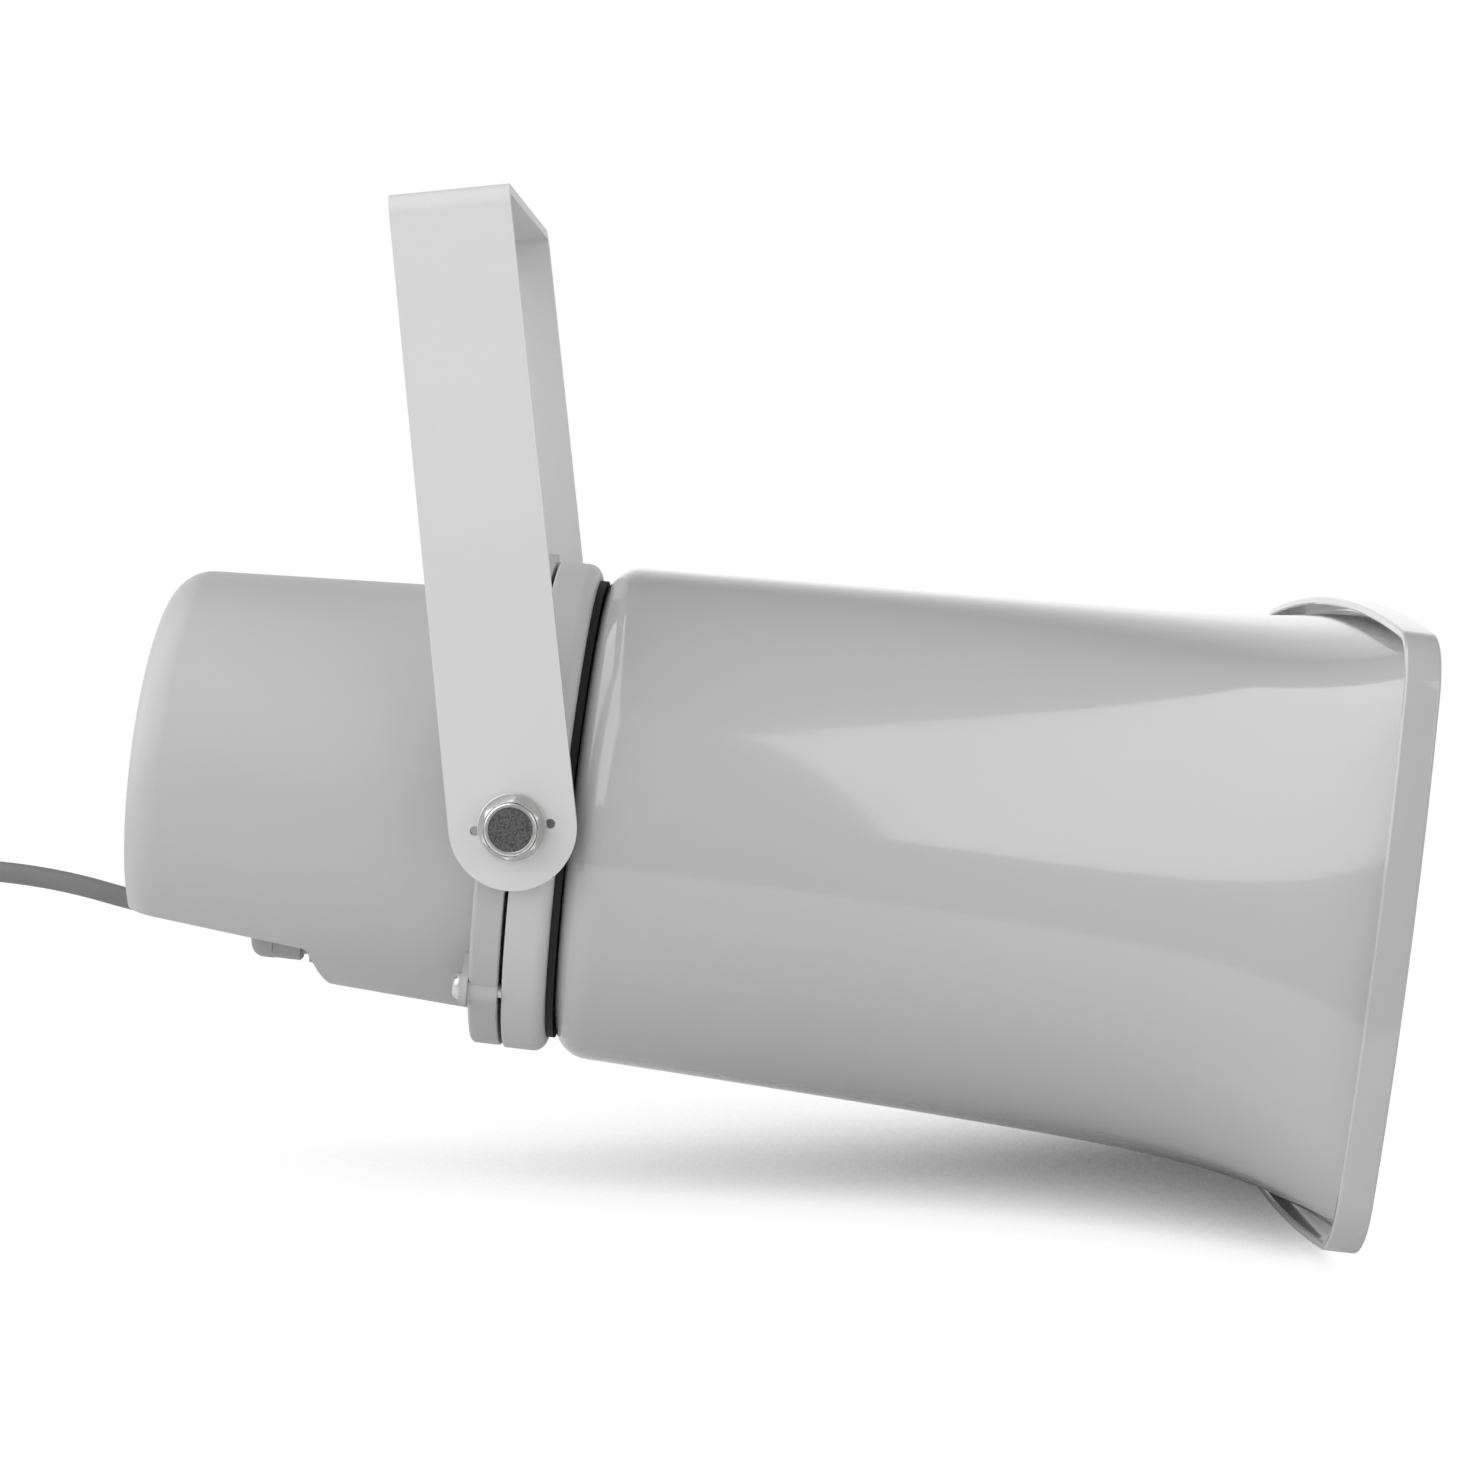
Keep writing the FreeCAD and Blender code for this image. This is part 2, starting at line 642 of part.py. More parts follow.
def lip_prism(inset, x_start, x_end, end_inset=0.0):
    """Straight block with the lip's outline, or a tapered one if end_inset is given."""
    loops = []
    for x, draw in ((x_start, inset), (x_end, inset + end_inset)):
        loops.append(arc_loop(x, LIP_HALF_WIDTH - draw, LIP_HALF_HEIGHT - draw, MOUTH_CORNER_R - draw,
                              radians(MOUTH_SIDE_TURN), radians(MOUTH_TOP_TURN)))
    return Part.makeLoft(loops, True, True)


def horn_bell():
    lip_rear = MOUTH_X - LIP_DEPTH
    lip = lip_prism(0, lip_rear, MOUTH_X - LIP_CHAMFER)
    lip = lip.fuse(lip_prism(0, MOUTH_X - LIP_CHAMFER, MOUTH_X, LIP_CHAMFER))
    lip = lip.cut(lip_prism(LIP_THICK, lip_rear, MOUTH_X - LIP_FRONT))
    bell = bell_core(0, BELL_REAR_X).fuse(lip)
    bell = bell.cut(bell_core(BELL_WALL, BELL_WALL_X))
    boss = rod_x(BELL_WALL_X - BELL_REAR_WALL / 2, BELL_WALL_X + BELL_BOSS_HEIGHT, BELL_BOSS_R)
    for post in on_circle(boss, BELL_SCREW_CIRCLE, BELL_SCREW_COUNT):
        bell = bell.fuse(post)
    for hole in bell_screw_hole(BELL_REAR_X, WEB_REAR_X + BELL_SCREW_LENGTH):
        bell = bell.cut(hole)
    bell = bell.cut(rod_x(BELL_REAR_X, BELL_WALL_X, TUBE_SPIGOT_R + SPIGOT_CLEARANCE))
    return bell


def bell_screws():
    screw = rod_x(WEB_REAR_X, WEB_REAR_X + BELL_SCREW_LENGTH, BELL_SCREW_R)
    head = turned([
        (WEB_REAR_X - BELL_SCREW_HEAD, 0),
        (WEB_REAR_X - BELL_SCREW_HEAD, BELL_SCREW_HEAD_R, BELL_SCREW_HEAD / 2),
        (WEB_REAR_X, BELL_SCREW_HEAD_R),
        (WEB_REAR_X, 0),
    ])
    return Part.makeCompound(on_circle(screw.fuse(head), BELL_SCREW_CIRCLE, BELL_SCREW_COUNT))


# Tone tube and reflector

def tone_tube():
    tube = turned([
        (WEB_REAR_X, THROAT_R),
        (WEB_REAR_X, TUBE_SPIGOT_R),
        (BELL_WALL_X, TUBE_SPIGOT_R),
        (BELL_WALL_X, TUBE_FLANGE_R),
        (BELL_WALL_X + TUBE_FLANGE, TUBE_FLANGE_R, EDGE_ROUND),
        (BELL_WALL_X + TUBE_FLANGE, TUBE_REAR_R, SOFT_ROUND),
        (TUBE_END_X, TUBE_MOUTH_R),
        (TUBE_END_X, TUBE_MOUTH_R - TUBE_WALL),
    ])
    hub_x = TUBE_END_X - SPIDER_LENGTH
    vane = Part.makeBox(SPIDER_LENGTH, SPIDER_VANE, TUBE_MOUTH_R - TUBE_WALL / 2)
    vane.translate(V(hub_x, -SPIDER_VANE / 2, 0))
    spider = rod_x(hub_x, TUBE_END_X, SPIDER_HUB_R)
    for blade in on_circle(vane, 0, SPIDER_VANES):
        spider = spider.fuse(blade)
    inside = turned([
        (hub_x, 0),
        (hub_x, TUBE_MOUTH_R - TUBE_WALL),
        (TUBE_END_X, TUBE_MOUTH_R - TUBE_WALL / 2),
        (TUBE_END_X, 0),
    ])
    tube = tube.fuse(spider.common(inside))
    return tube.cut(rod_x(hub_x, TUBE_END_X, CUP_SCREW_R + SCREW_CLEARANCE))


def reflector():
    wall, nose = CUP_WALL, CUP_NOSE_X
    cup = turned([
        (CUP_REAR_X, CUP_REAR_R - wall, CUP_RIM_ROUND),
        (CUP_REAR_X, CUP_REAR_R, CUP_RIM_ROUND),
        (CUP_SHOULDER_X, CUP_SHOULDER_R, CUP_SHOULDER_ROUND),
        (nose, CUP_NOSE_R, CUP_NOSE_ROUND),
        (nose, 0),
        (nose - wall, 0),
        (nose - wall, CUP_NOSE_R - wall, CUP_NOSE_ROUND - wall),
        (CUP_SHOULDER_X, CUP_SHOULDER_R - wall, CUP_SHOULDER_ROUND - wall),
    ])
    post = rod_x(TUBE_END_X, nose - wall / 2, CUP_POST_R)
    cup = cup.fuse(post)
    cup = cup.cut(rod_x(nose - CUP_SCREW_HEAD, nose, CUP_SCREW_HEAD_R + SEAT_GAP))
    return cup.cut(rod_x(TUBE_END_X, nose, CUP_SCREW_R + SCREW_CLEARANCE))


def reflector_screw():
    seat = CUP_NOSE_X - CUP_SCREW_HEAD
    shank = rod_x(TUBE_END_X - CUP_SCREW_GRIP, seat, CUP_SCREW_R)
    head = turned([
        (seat, 0),
        (seat, CUP_SCREW_HEAD_R),
        (CUP_NOSE_X, CUP_SCREW_HEAD_R, CUP_SCREW_HEAD / 2),
        (CUP_NOSE_X, 0),
    ])
    slot = Part.makeBox(CUP_SCREW_HEAD / 2, 2 * CUP_SCREW_HEAD_R, DRIVE_SLOT)
    slot.translate(V(CUP_NOSE_X - CUP_SCREW_HEAD / 2, -CUP_SCREW_HEAD_R, -DRIVE_SLOT / 2))
    return shank.fuse(head).cut(slot)


# Rear cover

def recess_tool(grow):
    """Block below the recess's floor and behind its step, and the cable channel above it."""
    slope, lean = tan(radians(RECESS_SLOPE)), tan(radians(RECESS_STEP_SLOPE))
    boss_r = GLAND_BOSS_R - BOSS_SHARE * grow
    rear_x = COVER_REAR_X - 2 * COVER_WALL
    deep = -COVER_FRONT_R - 2 * COVER_WALL
    step_x, step_z = RECESS_STEP_X + grow, RECESS_STEP_Z + grow
    corner = RECESS_ROUND + grow
    block = side_slab([
        (rear_x, step_z + slope * (step_x - rear_x)),
        (step_x, step_z, corner),
        (step_x + lean * (step_z - deep), deep),
        (rear_x, deep),
    ], COVER_FRONT_R)
    block = block.fuse(rod_x(rear_x, step_x, CHANNEL_R + grow, 0.0, GLAND_Z))
    return block.cut(rod_x(step_x, FLANGE_REAR_X, boss_r, 0.0, GLAND_Z))


def cover_core(inset):
    """The cover's conical volume, drawn in by an inset."""
    front_x = FLANGE_REAR_X + FLANGE_THICK / 2
    return turned([
        (COVER_REAR_X + inset, 0),
        (COVER_REAR_X + inset, COVER_REAR_R - inset, COVER_REAR_ROUND - inset),
        (FLANGE_REAR_X, COVER_FRONT_R - inset),
        (front_x, COVER_FRONT_R - inset),
        (front_x, 0),
    ])


def rear_cover():
    shell = cover_core(0).cut(recess_tool(0))
    flange = turned([
        (FLANGE_REAR_X, 0),
        (FLANGE_REAR_X, FLANGE_R, FLANGE_ROUND),
        (FLANGE_FRONT_X, FLANGE_R, FINE_ROUND),
        (FLANGE_FRONT_X, 0),
    ])
    sleeve = rod_x(FLANGE_REAR_X, FLANGE_FRONT_X, SLEEVE_R)
    lug = rod_x(FLANGE_REAR_X - LUG_THICK, FLANGE_REAR_X, LUG_R)
    web = Part.makeBox(LUG_THICK, 2 * LUG_R, COVER_SCREW_CIRCLE - COVER_FRONT_R + COVER_WALL)
    web.translate(V(FLANGE_REAR_X - LUG_THICK, -LUG_R, COVER_FRONT_R - COVER_WALL - COVER_SCREW_CIRCLE))
    shell = shell.fuse(flange)
    for ear in at_angles(sleeve.fuse(lug).fuse(web), COVER_SCREW_CIRCLE, COVER_SCREW_ANGLES):
        shell = shell.fuse(ear)
    hollow = cover_core(COVER_WALL).cut(recess_tool(COVER_WALL))
    mouth = rod_x(FLANGE_REAR_X + COVER_WALL, FLANGE_FRONT_X, COLLAR_RECESS_R)
    shell = shell.cut(hollow.fuse(mouth)).cut(bush_pockets())
    for hole in cover_screw_hole(FLANGE_REAR_X - LUG_THICK, FLANGE_FRONT_X):
        shell = shell.cut(hole)
    gland_hole_end = RECESS_STEP_X + COVER_WALL + GLAND_TAIL
    shell = shell.cut(rod_x(RECESS_STEP_X, gland_hole_end, GLAND_THREAD_R + SPIGOT_CLEARANCE, 0.0, GLAND_Z))
    shell = shell.cut(rod_x(COVER_REAR_X, COVER_REAR_X + SELECTOR_DISH, SELECTOR_DISH_R))
    dish_wall = turned([
        (COVER_REAR_X + SELECTOR_DISH, 0),
        (COVER_REAR_X + SELECTOR_DISH, SELECTOR_DISH_R + COVER_WALL),
        (COVER_REAR_X + SELECTOR_DISH + COVER_WALL, SELECTOR_DISH_R + COVER_WALL, EDGE_ROUND),
        (COVER_REAR_X + SELECTOR_DISH + COVER_WALL, 0),
    ])
    shell = shell.fuse(dish_wall)
    stem_r = KNOB_STEM_R + STEM_CLEARANCE
    shell = shell.cut(rod_x(COVER_REAR_X, COVER_REAR_X + SELECTOR_DISH + COVER_WALL, stem_r))
    return shell.removeSplitter()


def cover_screws():
    rear = FLANGE_REAR_X - LUG_THICK
    shank = rod_x(rear, COLLAR_REAR_X + COVER_SCREW_GRIP, COVER_SCREW_R)
    head = turned([
        (rear - COVER_SCREW_HEAD, 0),
        (rear - COVER_SCREW_HEAD, COVER_SCREW_HEAD_R, COVER_SCREW_ROUND),
        (rear, COVER_SCREW_HEAD_R),
        (rear, 0),
    ])
    slot = Part.makeBox(COVER_SCREW_HEAD / 2, 2 * COVER_SCREW_HEAD_R, DRIVE_SLOT)
    slot.translate(V(rear - COVER_SCREW_HEAD, -COVER_SCREW_HEAD_R, -DRIVE_SLOT / 2))
    screw = shank.fuse(head).cut(slot)
    return Part.makeCompound(at_angles(screw, COVER_SCREW_CIRCLE, COVER_SCREW_ANGLES))


# Driver

def driver_head():
    """Front casting: throat in the middle, recess for the diaphragm behind."""
    recess_x = HEAD_REAR_X + HEAD_RECESS
    head = turned([
        (WEB_REAR_X, THROAT_R),
        (WEB_REAR_X, HEAD_R, EDGE_ROUND),
        (HEAD_REAR_X, HEAD_R, EDGE_ROUND),
        (HEAD_REAR_X, HEAD_RECESS_R),
        (recess_x, HEAD_RECESS_FLOOR_R),
        (recess_x, THROAT_ENTRY_R),
    ])
    for hole in driver_screw_holes(HEAD_REAR_X, WEB_REAR_X):
        head = head.cut(hole)
    sink = rod_x(WEB_REAR_X - DRIVER_SCREW_HEAD, WEB_REAR_X, DRIVER_SCREW_HEAD_R + SEAT_GAP)
    for hole in on_circle(sink, DRIVER_SCREW_CIRCLE, DRIVER_SCREW_COUNT, DRIVER_SCREW_ANGLE):
        head = head.cut(hole)
    for fixing in fixing_places(fixing_screw(SCREW_CLEARANCE)):
        head = head.cut(fixing)
    return head


def fixing_screw(grow):
    """Countersunk screw from the collar's front face into the driver head, or its hole if grown."""
    seat = COLLAR_FRONT_X - FIXING_HEAD
    shank = rod_x(WEB_REAR_X - FIXING_DEPTH, seat, FIXING_R + grow)
    head = turned([
        (seat, 0),
        (seat, FIXING_R + grow),
        (COLLAR_FRONT_X, FIXING_HEAD_R + grow),
        (COLLAR_FRONT_X, 0),
    ])
    return shank.fuse(head)


def fixing_places(shape):
    return on_circle(shape, FIXING_CIRCLE, FIXING_COUNT, FIXING_ANGLE)


def driver_fixings():
    return Part.makeCompound(fixing_places(fixing_screw(0)))


def driver_screw_holes(x_start, x_end):
    hole = rod_x(x_start, x_end, DRIVER_SCREW_R + SCREW_CLEARANCE)
    return on_circle(hole, DRIVER_SCREW_CIRCLE, DRIVER_SCREW_COUNT, DRIVER_SCREW_ANGLE)


def phase_plug():
    """Bullet on three fins in the throat."""
    rear_x = HEAD_REAR_X + HEAD_RECESS
    tip_x = rear_x + PLUG_LENGTH
    bullet = turned([
        (rear_x, 0),
        (rear_x, PLUG_R, FINE_ROUND),
        (tip_x, PLUG_TIP_R, EDGE_ROUND),
        (tip_x, 0),
    ])
    fin = Part.makeBox(WEB_REAR_X - rear_x - PLUG_FIN_SHORT, PLUG_FIN, THROAT_R)
    fin.translate(V(rear_x, -PLUG_FIN / 2, 0))
    for blade in on_circle(fin, 0, SPIDER_VANES):
        bullet = bullet.fuse(blade)
    return bullet.common(rod_x(rear_x, tip_x, THROAT_R - SPIGOT_CLEARANCE))


def diaphragm():
    """Domed skin with a flat rim that the driver head clamps on the top plate."""
    front_x = HEAD_REAR_X + DIAPHRAGM_THICK
    rim = rod_x(HEAD_REAR_X, front_x, DIAPHRAGM_R).cut(rod_x(HEAD_REAR_X, front_x, COIL_R))
    sphere_r = (COIL_R ** 2 + DOME_HEIGHT ** 2) / (2 * DOME_HEIGHT)
    centre = V(front_x + DOME_HEIGHT - sphere_r, 0, 0)
    dome = Part.makeSphere(sphere_r, centre).cut(Part.makeSphere(sphere_r - DIAPHRAGM_THICK, centre))
    return rim.fuse(dome.common(rod_x(HEAD_REAR_X, front_x + DOME_HEIGHT, COIL_R + DIAPHRAGM_THICK)))


def voice_coil():
    coil_rear_x = HEAD_REAR_X - COIL_LENGTH
    return rod_x(coil_rear_x, HEAD_REAR_X, COIL_R + COIL_THICK).cut(rod_x(coil_rear_x, HEAD_REAR_X, COIL_R))


def top_plate():
    hole_r = COIL_R + COIL_THICK + GAP_WIDTH / 2
    plate = rod_x(TOP_PLATE_REAR_X, HEAD_REAR_X, TOP_PLATE_R)
    plate = plate.cut(rod_x(TOP_PLATE_REAR_X, HEAD_REAR_X, hole_r))
    for hole in driver_screw_holes(TOP_PLATE_REAR_X, HEAD_REAR_X):
        plate = plate.cut(hole)
    return plate


def magnet():
    return turned([
        (MAGNET_REAR_X, MAGNET_INNER_R, FINE_ROUND),
        (MAGNET_REAR_X, MAGNET_R, EDGE_ROUND),
        (TOP_PLATE_REAR_X, MAGNET_R, EDGE_ROUND),
        (TOP_PLATE_REAR_X, MAGNET_INNER_R, FINE_ROUND),
    ])


def pole_yoke():
    pole_r = COIL_R - GAP_WIDTH / 2
    pole_front_x = HEAD_REAR_X - POLE_STEP
    yoke = turned([
        (YOKE_REAR_X, 0),
        (YOKE_REAR_X, YOKE_R, SOFT_ROUND),
        (MAGNET_REAR_X, YOKE_R),
        (MAGNET_REAR_X, pole_r),
        (pole_front_x, pole_r, EDGE_ROUND),
        (pole_front_x, 0),
    ])
    for side_y in (-FRAME_SCREW_Y, FRAME_SCREW_Y):
        depth_x = YOKE_REAR_X + FRAME_SCREW_DEPTH
        yoke = yoke.cut(rod_x(YOKE_REAR_X, depth_x, FRAME_SCREW_R + SCREW_CLEARANCE, side_y))
    return yoke


def driver_screws():
    seat = WEB_REAR_X - DRIVER_SCREW_HEAD
    screw = rod_x(TOP_PLATE_REAR_X, seat, DRIVER_SCREW_R)
    screw = screw.fuse(rod_x(seat, WEB_REAR_X - SEAT_GAP, DRIVER_SCREW_HEAD_R))
    return Part.makeCompound(on_circle(screw, DRIVER_SCREW_CIRCLE, DRIVER_SCREW_COUNT, DRIVER_SCREW_ANGLE))


# Transformer

def transformer_core():
    core = Part.makeBox(CORE_DEPTH, CORE_WIDTH, CORE_HEIGHT)
    core.translate(V(FRAME_X - CORE_DEPTH, -CORE_WIDTH / 2, -CORE_HEIGHT / 2))
    for side in (-1, 1):
        window = Part.makeBox(CORE_DEPTH, CORE_WINDOW_WIDTH, CORE_WINDOW_HEIGHT)
        middle = side * CORE_WIDTH / 4
        window.translate(V(FRAME_X - CORE_DEPTH, middle - CORE_WINDOW_WIDTH / 2, -CORE_WINDOW_HEIGHT / 2))
        core = core.cut(window)
    return core


def transformer_winding():
    limb = CORE_WIDTH / 2 - CORE_WINDOW_WIDTH
    outer_y = CORE_WIDTH / 4 + CORE_WINDOW_WIDTH / 2 - SEAT_GAP
    middle_x = FRAME_X - CORE_DEPTH / 2
    height = CORE_WINDOW_HEIGHT - 2 * SEAT_GAP
    coil = Part.makeBox(WINDING_DEPTH, 2 * outer_y, height)
    coil.translate(V(middle_x - WINDING_DEPTH / 2, -outer_y, -height / 2))
    upright = [e for e in coil.Edges if abs(e.CenterOfMass.z) < 1e-6]
    coil = coil.makeFillet(WINDING_ROUND, upright)
    hole = Part.makeBox(CORE_DEPTH + 2 * SEAT_GAP, limb + 2 * SEAT_GAP, height)
    hole.translate(V(middle_x - CORE_DEPTH / 2 - SEAT_GAP, -limb / 2 - SEAT_GAP, -height / 2))
    return coil.cut(hole)


def transformer_frame():
    """Folded strap over the core's top, standing on the yoke with two feet."""
    plate = FRAME_PLATE
    half = CORE_WIDTH / 2
    width = CORE_HEIGHT / 2
    top_z = CORE_HEIGHT / 2 + plate
    frame = None
    for side in (-1, 1):
        cheek = Part.makeBox(YOKE_REAR_X - FRAME_X + CORE_DEPTH, plate, top_z + width / 2)
        cheek.translate(V(FRAME_X - CORE_DEPTH, half if side > 0 else -half - plate, -width / 2))
        foot = Part.makeBox(plate, FRAME_FOOT, width)
        foot.translate(V(YOKE_REAR_X - plate, half if side > 0 else -half - FRAME_FOOT, -width / 2))
        hole = rod_x(YOKE_REAR_X - plate, YOKE_REAR_X, FRAME_SCREW_R + SCREW_CLEARANCE, side * FRAME_SCREW_Y)
        leg = cheek.fuse(foot).cut(hole)
        frame = leg if frame is None else frame.fuse(leg)
    bridge = Part.makeBox(CORE_DEPTH, CORE_WIDTH + 2 * plate, plate)
    bridge.translate(V(FRAME_X - CORE_DEPTH, -half - plate, top_z - plate))
    return frame.fuse(bridge)


def transformer_screws():
    seat = YOKE_REAR_X - FRAME_PLATE
    screws = []
    for side_y in (-FRAME_SCREW_Y, FRAME_SCREW_Y):
        shank = rod_x(seat, YOKE_REAR_X + FRAME_SCREW_DEPTH, FRAME_SCREW_R, side_y)
        screws.append(shank.fuse(rod_x(seat - FRAME_SCREW_HEAD, seat, FRAME_SCREW_HEAD_R, side_y)))
    return Part.makeCompound(screws)


# Power selector

def selector_switch():
    rear = COVER_REAR_X + SELECTOR_DISH + COVER_WALL
    front = rear + SELECTOR_BODY_DEPTH
    return turned([
        (rear, KNOB_STEM_R + STEM_CLEARANCE),
        (rear, SELECTOR_BODY_R, FINE_ROUND),
        (front, SELECTOR_BODY_R, EDGE_ROUND),
        (front, 0),
        (front - SELECTOR_BODY_WALL, 0),
        (front - SELECTOR_BODY_WALL, KNOB_STEM_R + STEM_CLEARANCE),
    ])


def selector_knob():
    face = COVER_REAR_X + SELECTOR_DISH - SEAT_GAP
    switch_rear = COVER_REAR_X + SELECTOR_DISH + COVER_WALL
    stem_end = switch_rear + SELECTOR_BODY_DEPTH - SELECTOR_BODY_WALL - 2 * SEAT_GAP
    knob = turned([
        (face - KNOB_HEIGHT, 0),
        (face - KNOB_HEIGHT, KNOB_R, FINE_ROUND),
        (face, KNOB_R),
        (face, KNOB_STEM_R),
        (stem_end, KNOB_STEM_R),
        (stem_end, 0),
    ])
    slot_half = KNOB_R - KNOB_SLOT_MARGIN
    slot = Part.makeBox(KNOB_SLOT_DEPTH, 2 * slot_half, KNOB_SLOT)
    slot.translate(V(face - KNOB_HEIGHT, -slot_half, -KNOB_SLOT / 2))
    return knob.cut(slot)


# Cable gland

def gland_body():
    """Flange against the step, thread on both sides, bored for the cable."""
    tail = RECESS_STEP_X + COVER_WALL + GLAND_TAIL
    body = rod_x(GLAND_REAR_X, tail, GLAND_THREAD_R, 0.0, GLAND_Z)
    flange = hexagon_x(NUT_FRONT_X + GLAND_SLIT, RECESS_STEP_X, GLAND_NUT_FLATS, 0.0, GLAND_Z)
    body = body.fuse(flange)
    pocket_r = GLAND_SEAL_R + SPIGOT_CLEARANCE
    body = body.cut(rod_x(GLAND_REAR_X, GLAND_REAR_X + GLAND_SEAL_LENGTH, pocket_r, 0.0, GLAND_Z))
    return body.cut(rod_x(GLAND_REAR_X, tail, GLAND_BORE_R, 0.0, GLAND_Z))


def gland_seal():
    end_x = GLAND_REAR_X + GLAND_SEAL_LENGTH
    seal = rod_x(GLAND_REAR_X, end_x, GLAND_SEAL_R, 0.0, GLAND_Z)
    return seal.cut(rod_x(GLAND_REAR_X, end_x, CABLE_R + SPIGOT_CLEARANCE, 0.0, GLAND_Z))


def gland_nut():
    """Dome nut: six flats in front, rounded towards the cable."""
    nut = turned([
        (NUT_REAR_X, GLAND_NUT_BORE_R),
        (NUT_REAR_X, GLAND_NUT_R, GLAND_NUT_ROUND),
        (NUT_FRONT_X, GLAND_NUT_R),
        (NUT_FRONT_X, GLAND_THREAD_R + SCREW_CLEARANCE),
        (GLAND_REAR_X - SEAT_GAP, GLAND_THREAD_R + SCREW_CLEARANCE),
        (GLAND_REAR_X - SEAT_GAP, GLAND_NUT_BORE_R),
    ])
    nut.translate(V(0, 0, GLAND_Z))
    half = NUT_REAR_X + GLAND_GRIP_SHARE * GLAND_NUT_LENGTH
    grip = hexagon_x(half, NUT_FRONT_X, GLAND_NUT_FLATS, 0.0, GLAND_Z)
    rear = rod_x(NUT_REAR_X, half, GLAND_NUT_R, 0.0, GLAND_Z)
    return nut.common(grip.fuse(rear))


def gland_locknut():
    rear = RECESS_STEP_X + COVER_WALL
    front = rear + LOCKNUT_THICK
    nut = hexagon_x(rear, front, LOCKNUT_FLATS, 0.0, GLAND_Z)
    return nut.cut(rod_x(rear, front, GLAND_THREAD_R + SCREW_CLEARANCE, 0.0, GLAND_Z))


def cable_tail():
    """The cable inside the gland, cut square at the nut's rear face."""
    tail = RECESS_STEP_X + COVER_WALL + GLAND_TAIL + TAIL_INSIDE
    return rod_x(NUT_REAR_X, tail, CABLE_R, 0.0, GLAND_Z)


# Free cable

def floor_z():
    """Height of the mouth's lowest point, where the horn meets the floor in this pose."""
    turn = radians(REST_TILT)
    lowest = -MOUTH_X * sin(turn) - LIP_HALF_HEIGHT * cos(turn)
    return lowest - PIVOT_DROP


FLOOR_Z = floor_z()
COIL_BASE_Z = FLOOR_Z + TIE_THICK


def cable_points():
    """Route from the gland to the coil, chosen by hand in the row frame."""
    turn = radians(REST_TILT)
    exit_x = NUT_REAR_X * cos(turn) + GLAND_Z * sin(turn)
    exit_z = -NUT_REAR_X * sin(turn) + GLAND_Z * cos(turn) - PIVOT_DROP
    top_layer_z = COIL_BASE_Z + CABLE_R * (2 * COIL_LAYERS - 1)
    points = [V(exit_x, 0, exit_z)]
    points += [V(x, 0, z) for x, z in CABLE_ROUTE]
    points.append(V(COIL_LEAD_X, 0, top_layer_z))
    points.append(V(COIL_CENTRE_X - COIL_RUN_IN, 0, top_layer_z))
    return points


def tube_along(points, radius):
    """Tube of straight runs joined by tangent arcs, each arc as large as its two runs allow."""
    count = len(points)
    edges = []
    start = points[0]
    least = None
    for i in range(1, count - 1):
        before, after = points[i - 1] - points[i], points[i + 1] - points[i]
        shorter = min(before.Length, after.Length)
        before.normalize()
        after.normalize()
        half = acos(before.dot(after)) / 2
        reach = ARC_SHARE * shorter
        bend = reach * tan(half)
        middle = before + after
        middle.normalize()
        begin, end = points[i] + before * reach, points[i] + after * reach
        arc_top = points[i] + middle * (bend / sin(half) - bend)
        edges.append(Part.makeLine(start, begin))
        edges.append(Part.Arc(begin, arc_top, end).toShape())
        start = end
        least = bend if least is None else min(least, bend)
    edges.append(Part.makeLine(start, points[-1]))
    path = Part.Wire(edges)
    first = points[1] - points[0]
    profile = Part.Wire(Part.makeCircle(radius, points[0], first))
    tube = path.makePipeShell([profile], True, True)
    print("cable run %.1f mm, tightest bend %.1f mm, volume share %.4f"
          % (path.Length, least, tube.Volume / (pi * radius ** 2 * path.Length)))
    return tube


def cable_coil():
    """Outer shape of the coiled turns."""
    half = CABLE_R * COIL_COLUMNS
    height = 2 * CABLE_R * COIL_LAYERS
    inner, outer = COIL_MIDDLE_R - half, COIL_MIDDLE_R + half
    face = Part.Face(rounded_outline([
        (inner, 0, COIL_CORNER),
        (outer, 0, COIL_CORNER),
        (outer, height, COIL_CORNER),
        (inner, height, COIL_CORNER),
    ]))
    ring = face.revolve(V(0, 0, 0), V(0, 0, 1), 360)
    ring.translate(V(COIL_CENTRE_X, COIL_CENTRE_Y, COIL_BASE_Z))
    return ring


def cable_tie():
    """Band round the bundle of turns, on the coil's far side."""
    half = CABLE_R * COIL_COLUMNS
    height = 2 * CABLE_R * COIL_LAYERS
    grow = TIE_THICK
    outer = Part.makeBox(2 * half + 2 * grow, TIE_WIDTH, height + 2 * grow)
    outer.translate(V(-half - grow, -TIE_WIDTH / 2, -grow))
    inner = Part.makeBox(2 * half + 2 * SEAT_GAP, TIE_WIDTH, height + 2 * SEAT_GAP)
    inner.translate(V(-half - SEAT_GAP, -TIE_WIDTH / 2, -SEAT_GAP))
    long_edges = [e for e in outer.Edges if abs(e.CenterOfMass.y) < 1e-6]
    band = outer.makeFillet(grow, long_edges).cut(inner)
    band.translate(V(COIL_CENTRE_X - COIL_MIDDLE_R, COIL_CENTRE_Y, COIL_BASE_Z))
    return band


def tail_start():
    """Point where the straight end of the sheath comes out of the coil's outer surface."""
    line = COIL_MIDDLE_R + CABLE_R
    outer = COIL_MIDDLE_R + CABLE_R * COIL_COLUMNS
    return V(COIL_CENTRE_X + sqrt(outer ** 2 - line ** 2), COIL_CENTRE_Y + line, COIL_BASE_Z + CABLE_R)


def cable_end():
    """The last straight bit of sheath, leaving the coil along the floor."""
    start = tail_start()
    return rod_x(start.x, start.x + TAIL_LENGTH, CABLE_R, start.y, start.z)


